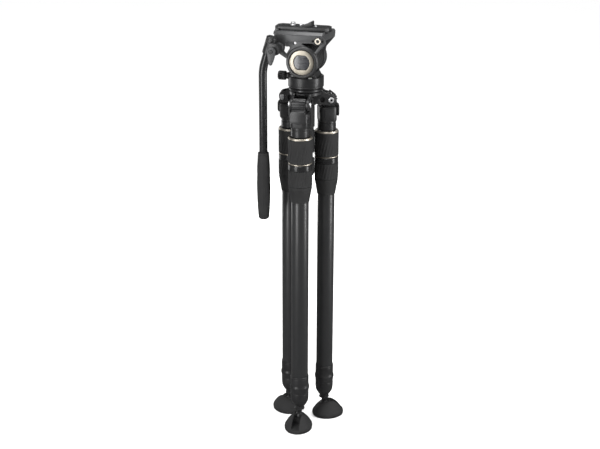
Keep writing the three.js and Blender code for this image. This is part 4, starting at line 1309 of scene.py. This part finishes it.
def bow(start, pull, end, steps=10):
    """Points on a curve from start to end that leans towards pull, without the first one."""
    start, pull, end = Vector(start), Vector(pull), Vector(end)
    curve = [start * (1 - t) ** 2 + pull * 2 * t * (1 - t) + end * t ** 2
             for t in (i / steps for i in range(1, steps + 1))]
    return [(point.x, point.y, 0) for point in curve]


def lever():
    """A teardrop lever with a raised rim round its pivot and a shallow ridge down the blade."""
    inner, outer, r, tip_r = 70.0, 76.0, 8.4, 3.4
    tip_x, tip_z = LEVER_X - 1.6, heights("bar_lever")[0] + tip_r
    outline = arc(LEVER_X, LEVER_Z, r, 0, 180, 18)
    outline += bow((LEVER_X - r, LEVER_Z), (LEVER_X - r + 0.4, LEVER_Z - 14), (tip_x - tip_r, tip_z))
    outline += arc(tip_x, tip_z, tip_r, 180, 360, 10)[1:]
    outline += bow((tip_x + tip_r, tip_z), (LEVER_X + r - 1.6, LEVER_Z - 15), (LEVER_X + r, LEVER_Z))[:-1]
    blade = upright(plate(outline, outer - inner, 1.6, soft=0), -outer, -inner)
    rim = along_minus_y(turned([(4.3, 75), (5.9, 75), (5.9, 76.4), (5.5, 76.8), (4.7, 76.8), (4.3, 76.4)],
                               0.2, 48, closed=True), LEVER_X, LEVER_Z)
    ridge_outline = bow((tip_x - 1.6, tip_z), (tip_x - 3.6, LEVER_Z - 14), (LEVER_X - 2.6, LEVER_Z - 8.6), 6)
    ridge_outline += bow((LEVER_X + 2.6, LEVER_Z - 8.6), (tip_x + 3.6, LEVER_Z - 14), (tip_x + 1.6, tip_z),
                         6)
    ridge = upright(plate(ridge_outline, 1.4, 0.5, soft=0), -outer - 0.4, -outer + 1.0)
    post = along_minus_y(turned([(0.01, 65.4), (3.5, 65.4), (3.5, 70.5), (0.01, 70.5)], 0.2, 36), LEVER_X,
                         LEVER_Z)
    return joined(blade, rim, ridge, post)


add("pan_bar_look", pan_bar(), HEAD, SATIN, "bar", "pan_bar")
add("bar_grip_look", grip(), HEAD, RUBBER, "bar", "bar_grip")
add("bar_bracket_look", bracket(), HEAD, BLACK, "bar", "bar_bracket")
add("bar_lever_look", lever(), HEAD, GREY, "bar_clamp_lever", "bar_lever")
add("bar_bracket_bolts", lever_nut(), HEAD, SATIN, "bar_clamp_lever")


# ---------------------------------------------------------------- studio: floor, light and camera
def studio_floor():
    mesh = bpy.data.meshes.new("floor")
    size = 9.0
    mesh.from_pydata([(-size, -size, 0), (size, -size, 0), (size, size, 0), (-size, size, 0)], [],
                     [(0, 1, 2, 3)])
    floor = bpy.data.objects.new("floor", mesh)
    bpy.context.collection.objects.link(floor)
    shader = Shader("pale_floor", Roughness=0.7, Specular_IOR_Level=0.2)
    shader.colour(shader.blend(shader.noise(2, 2), (0.975, 0.975, 0.975), (0.99, 0.99, 0.99)))
    mesh.materials.append(shader.material)
    floor.visible_glossy = False


def soft_box(name, place, aim, size, power):
    light = bpy.data.lights.new(name, "AREA")
    light.shape = "RECTANGLE"
    light.size, light.size_y = size
    light.energy = power
    lamp = bpy.data.objects.new(name, light)
    lamp.location = place
    lamp.visible_camera = False
    lamp.rotation_euler = (Vector(aim) - Vector(place)).to_track_quat("-Z", "Y").to_euler()
    bpy.context.collection.objects.link(lamp)


SURROUND, GLOSS_SURROUND = 1.06, 0.16
# name, degrees round from the front towards +X, distance, height, width and height of the box, watts
STRIPS = (
    ("left_strip", -26, 1.5, 0.85, (0.42, 1.7), 21),
    ("right_strip", 86, 1.3, 0.85, (0.30, 1.7), 19),
    ("rear_left_strip", -120, 1.6, 0.45, (0.5, 0.9), 4),
    ("rear_strip", -165, 1.8, 0.45, (0.5, 0.9), 5),
)


def studio_light():
    """A white surround that shows only faintly in gloss, and tall soft strips all round."""
    world = bpy.data.worlds.new("studio")
    bpy.context.scene.world = world
    world.use_nodes = True
    nodes, links = world.node_tree.nodes, world.node_tree.links
    background = nodes["Background"]
    background.inputs["Color"].default_value = (1, 1, 1, 1)
    path = nodes.new("ShaderNodeLightPath")
    dimmed = nodes.new("ShaderNodeMapRange")
    dimmed.inputs["To Min"].default_value = SURROUND
    dimmed.inputs["To Max"].default_value = GLOSS_SURROUND
    links.new(path.outputs["Is Glossy Ray"], dimmed.inputs["Value"])
    links.new(dimmed.outputs["Result"], background.inputs["Strength"])
    for name, azimuth, distance, height, size, power in STRIPS:
        angle = math.radians(azimuth)
        place = (AXIS.x + distance * math.sin(angle), AXIS.y - distance * math.cos(angle), height)
        soft_box(name, place, (AXIS.x, AXIS.y, 0.5), size, power)
    soft_box("top", (AXIS.x, AXIS.y - 0.2, 2.4), (AXIS.x, AXIS.y, 0.5), (0.9, 0.9), 28)


def studio_camera():
    """A long lens a little above the head, looking down at about 20 degrees."""
    camera = bpy.data.cameras.new("camera")
    camera.sensor_fit = "HORIZONTAL"
    camera.sensor_width = 36.0
    camera.lens = 73.4
    holder = bpy.data.objects.new("camera", camera)
    azimuth, down, roll = math.radians(14.74), math.radians(19.94), math.radians(0.16)
    place = Vector((AXIS.x + 0.6024, AXIS.y - 2.3345, 1.3266))
    look = Vector((-math.sin(azimuth) * math.cos(down), math.cos(azimuth) * math.cos(down), -math.sin(down)))
    turn = look.to_track_quat("-Z", "Y").to_matrix().to_4x4() @ Matrix.Rotation(roll, 4, "Z")
    holder.matrix_world = Matrix.Translation(place) @ turn
    bpy.context.collection.objects.link(holder)
    bpy.context.scene.camera = holder


studio_floor()
studio_light()
studio_camera()
bpy.context.scene.view_settings.view_transform = "Standard"
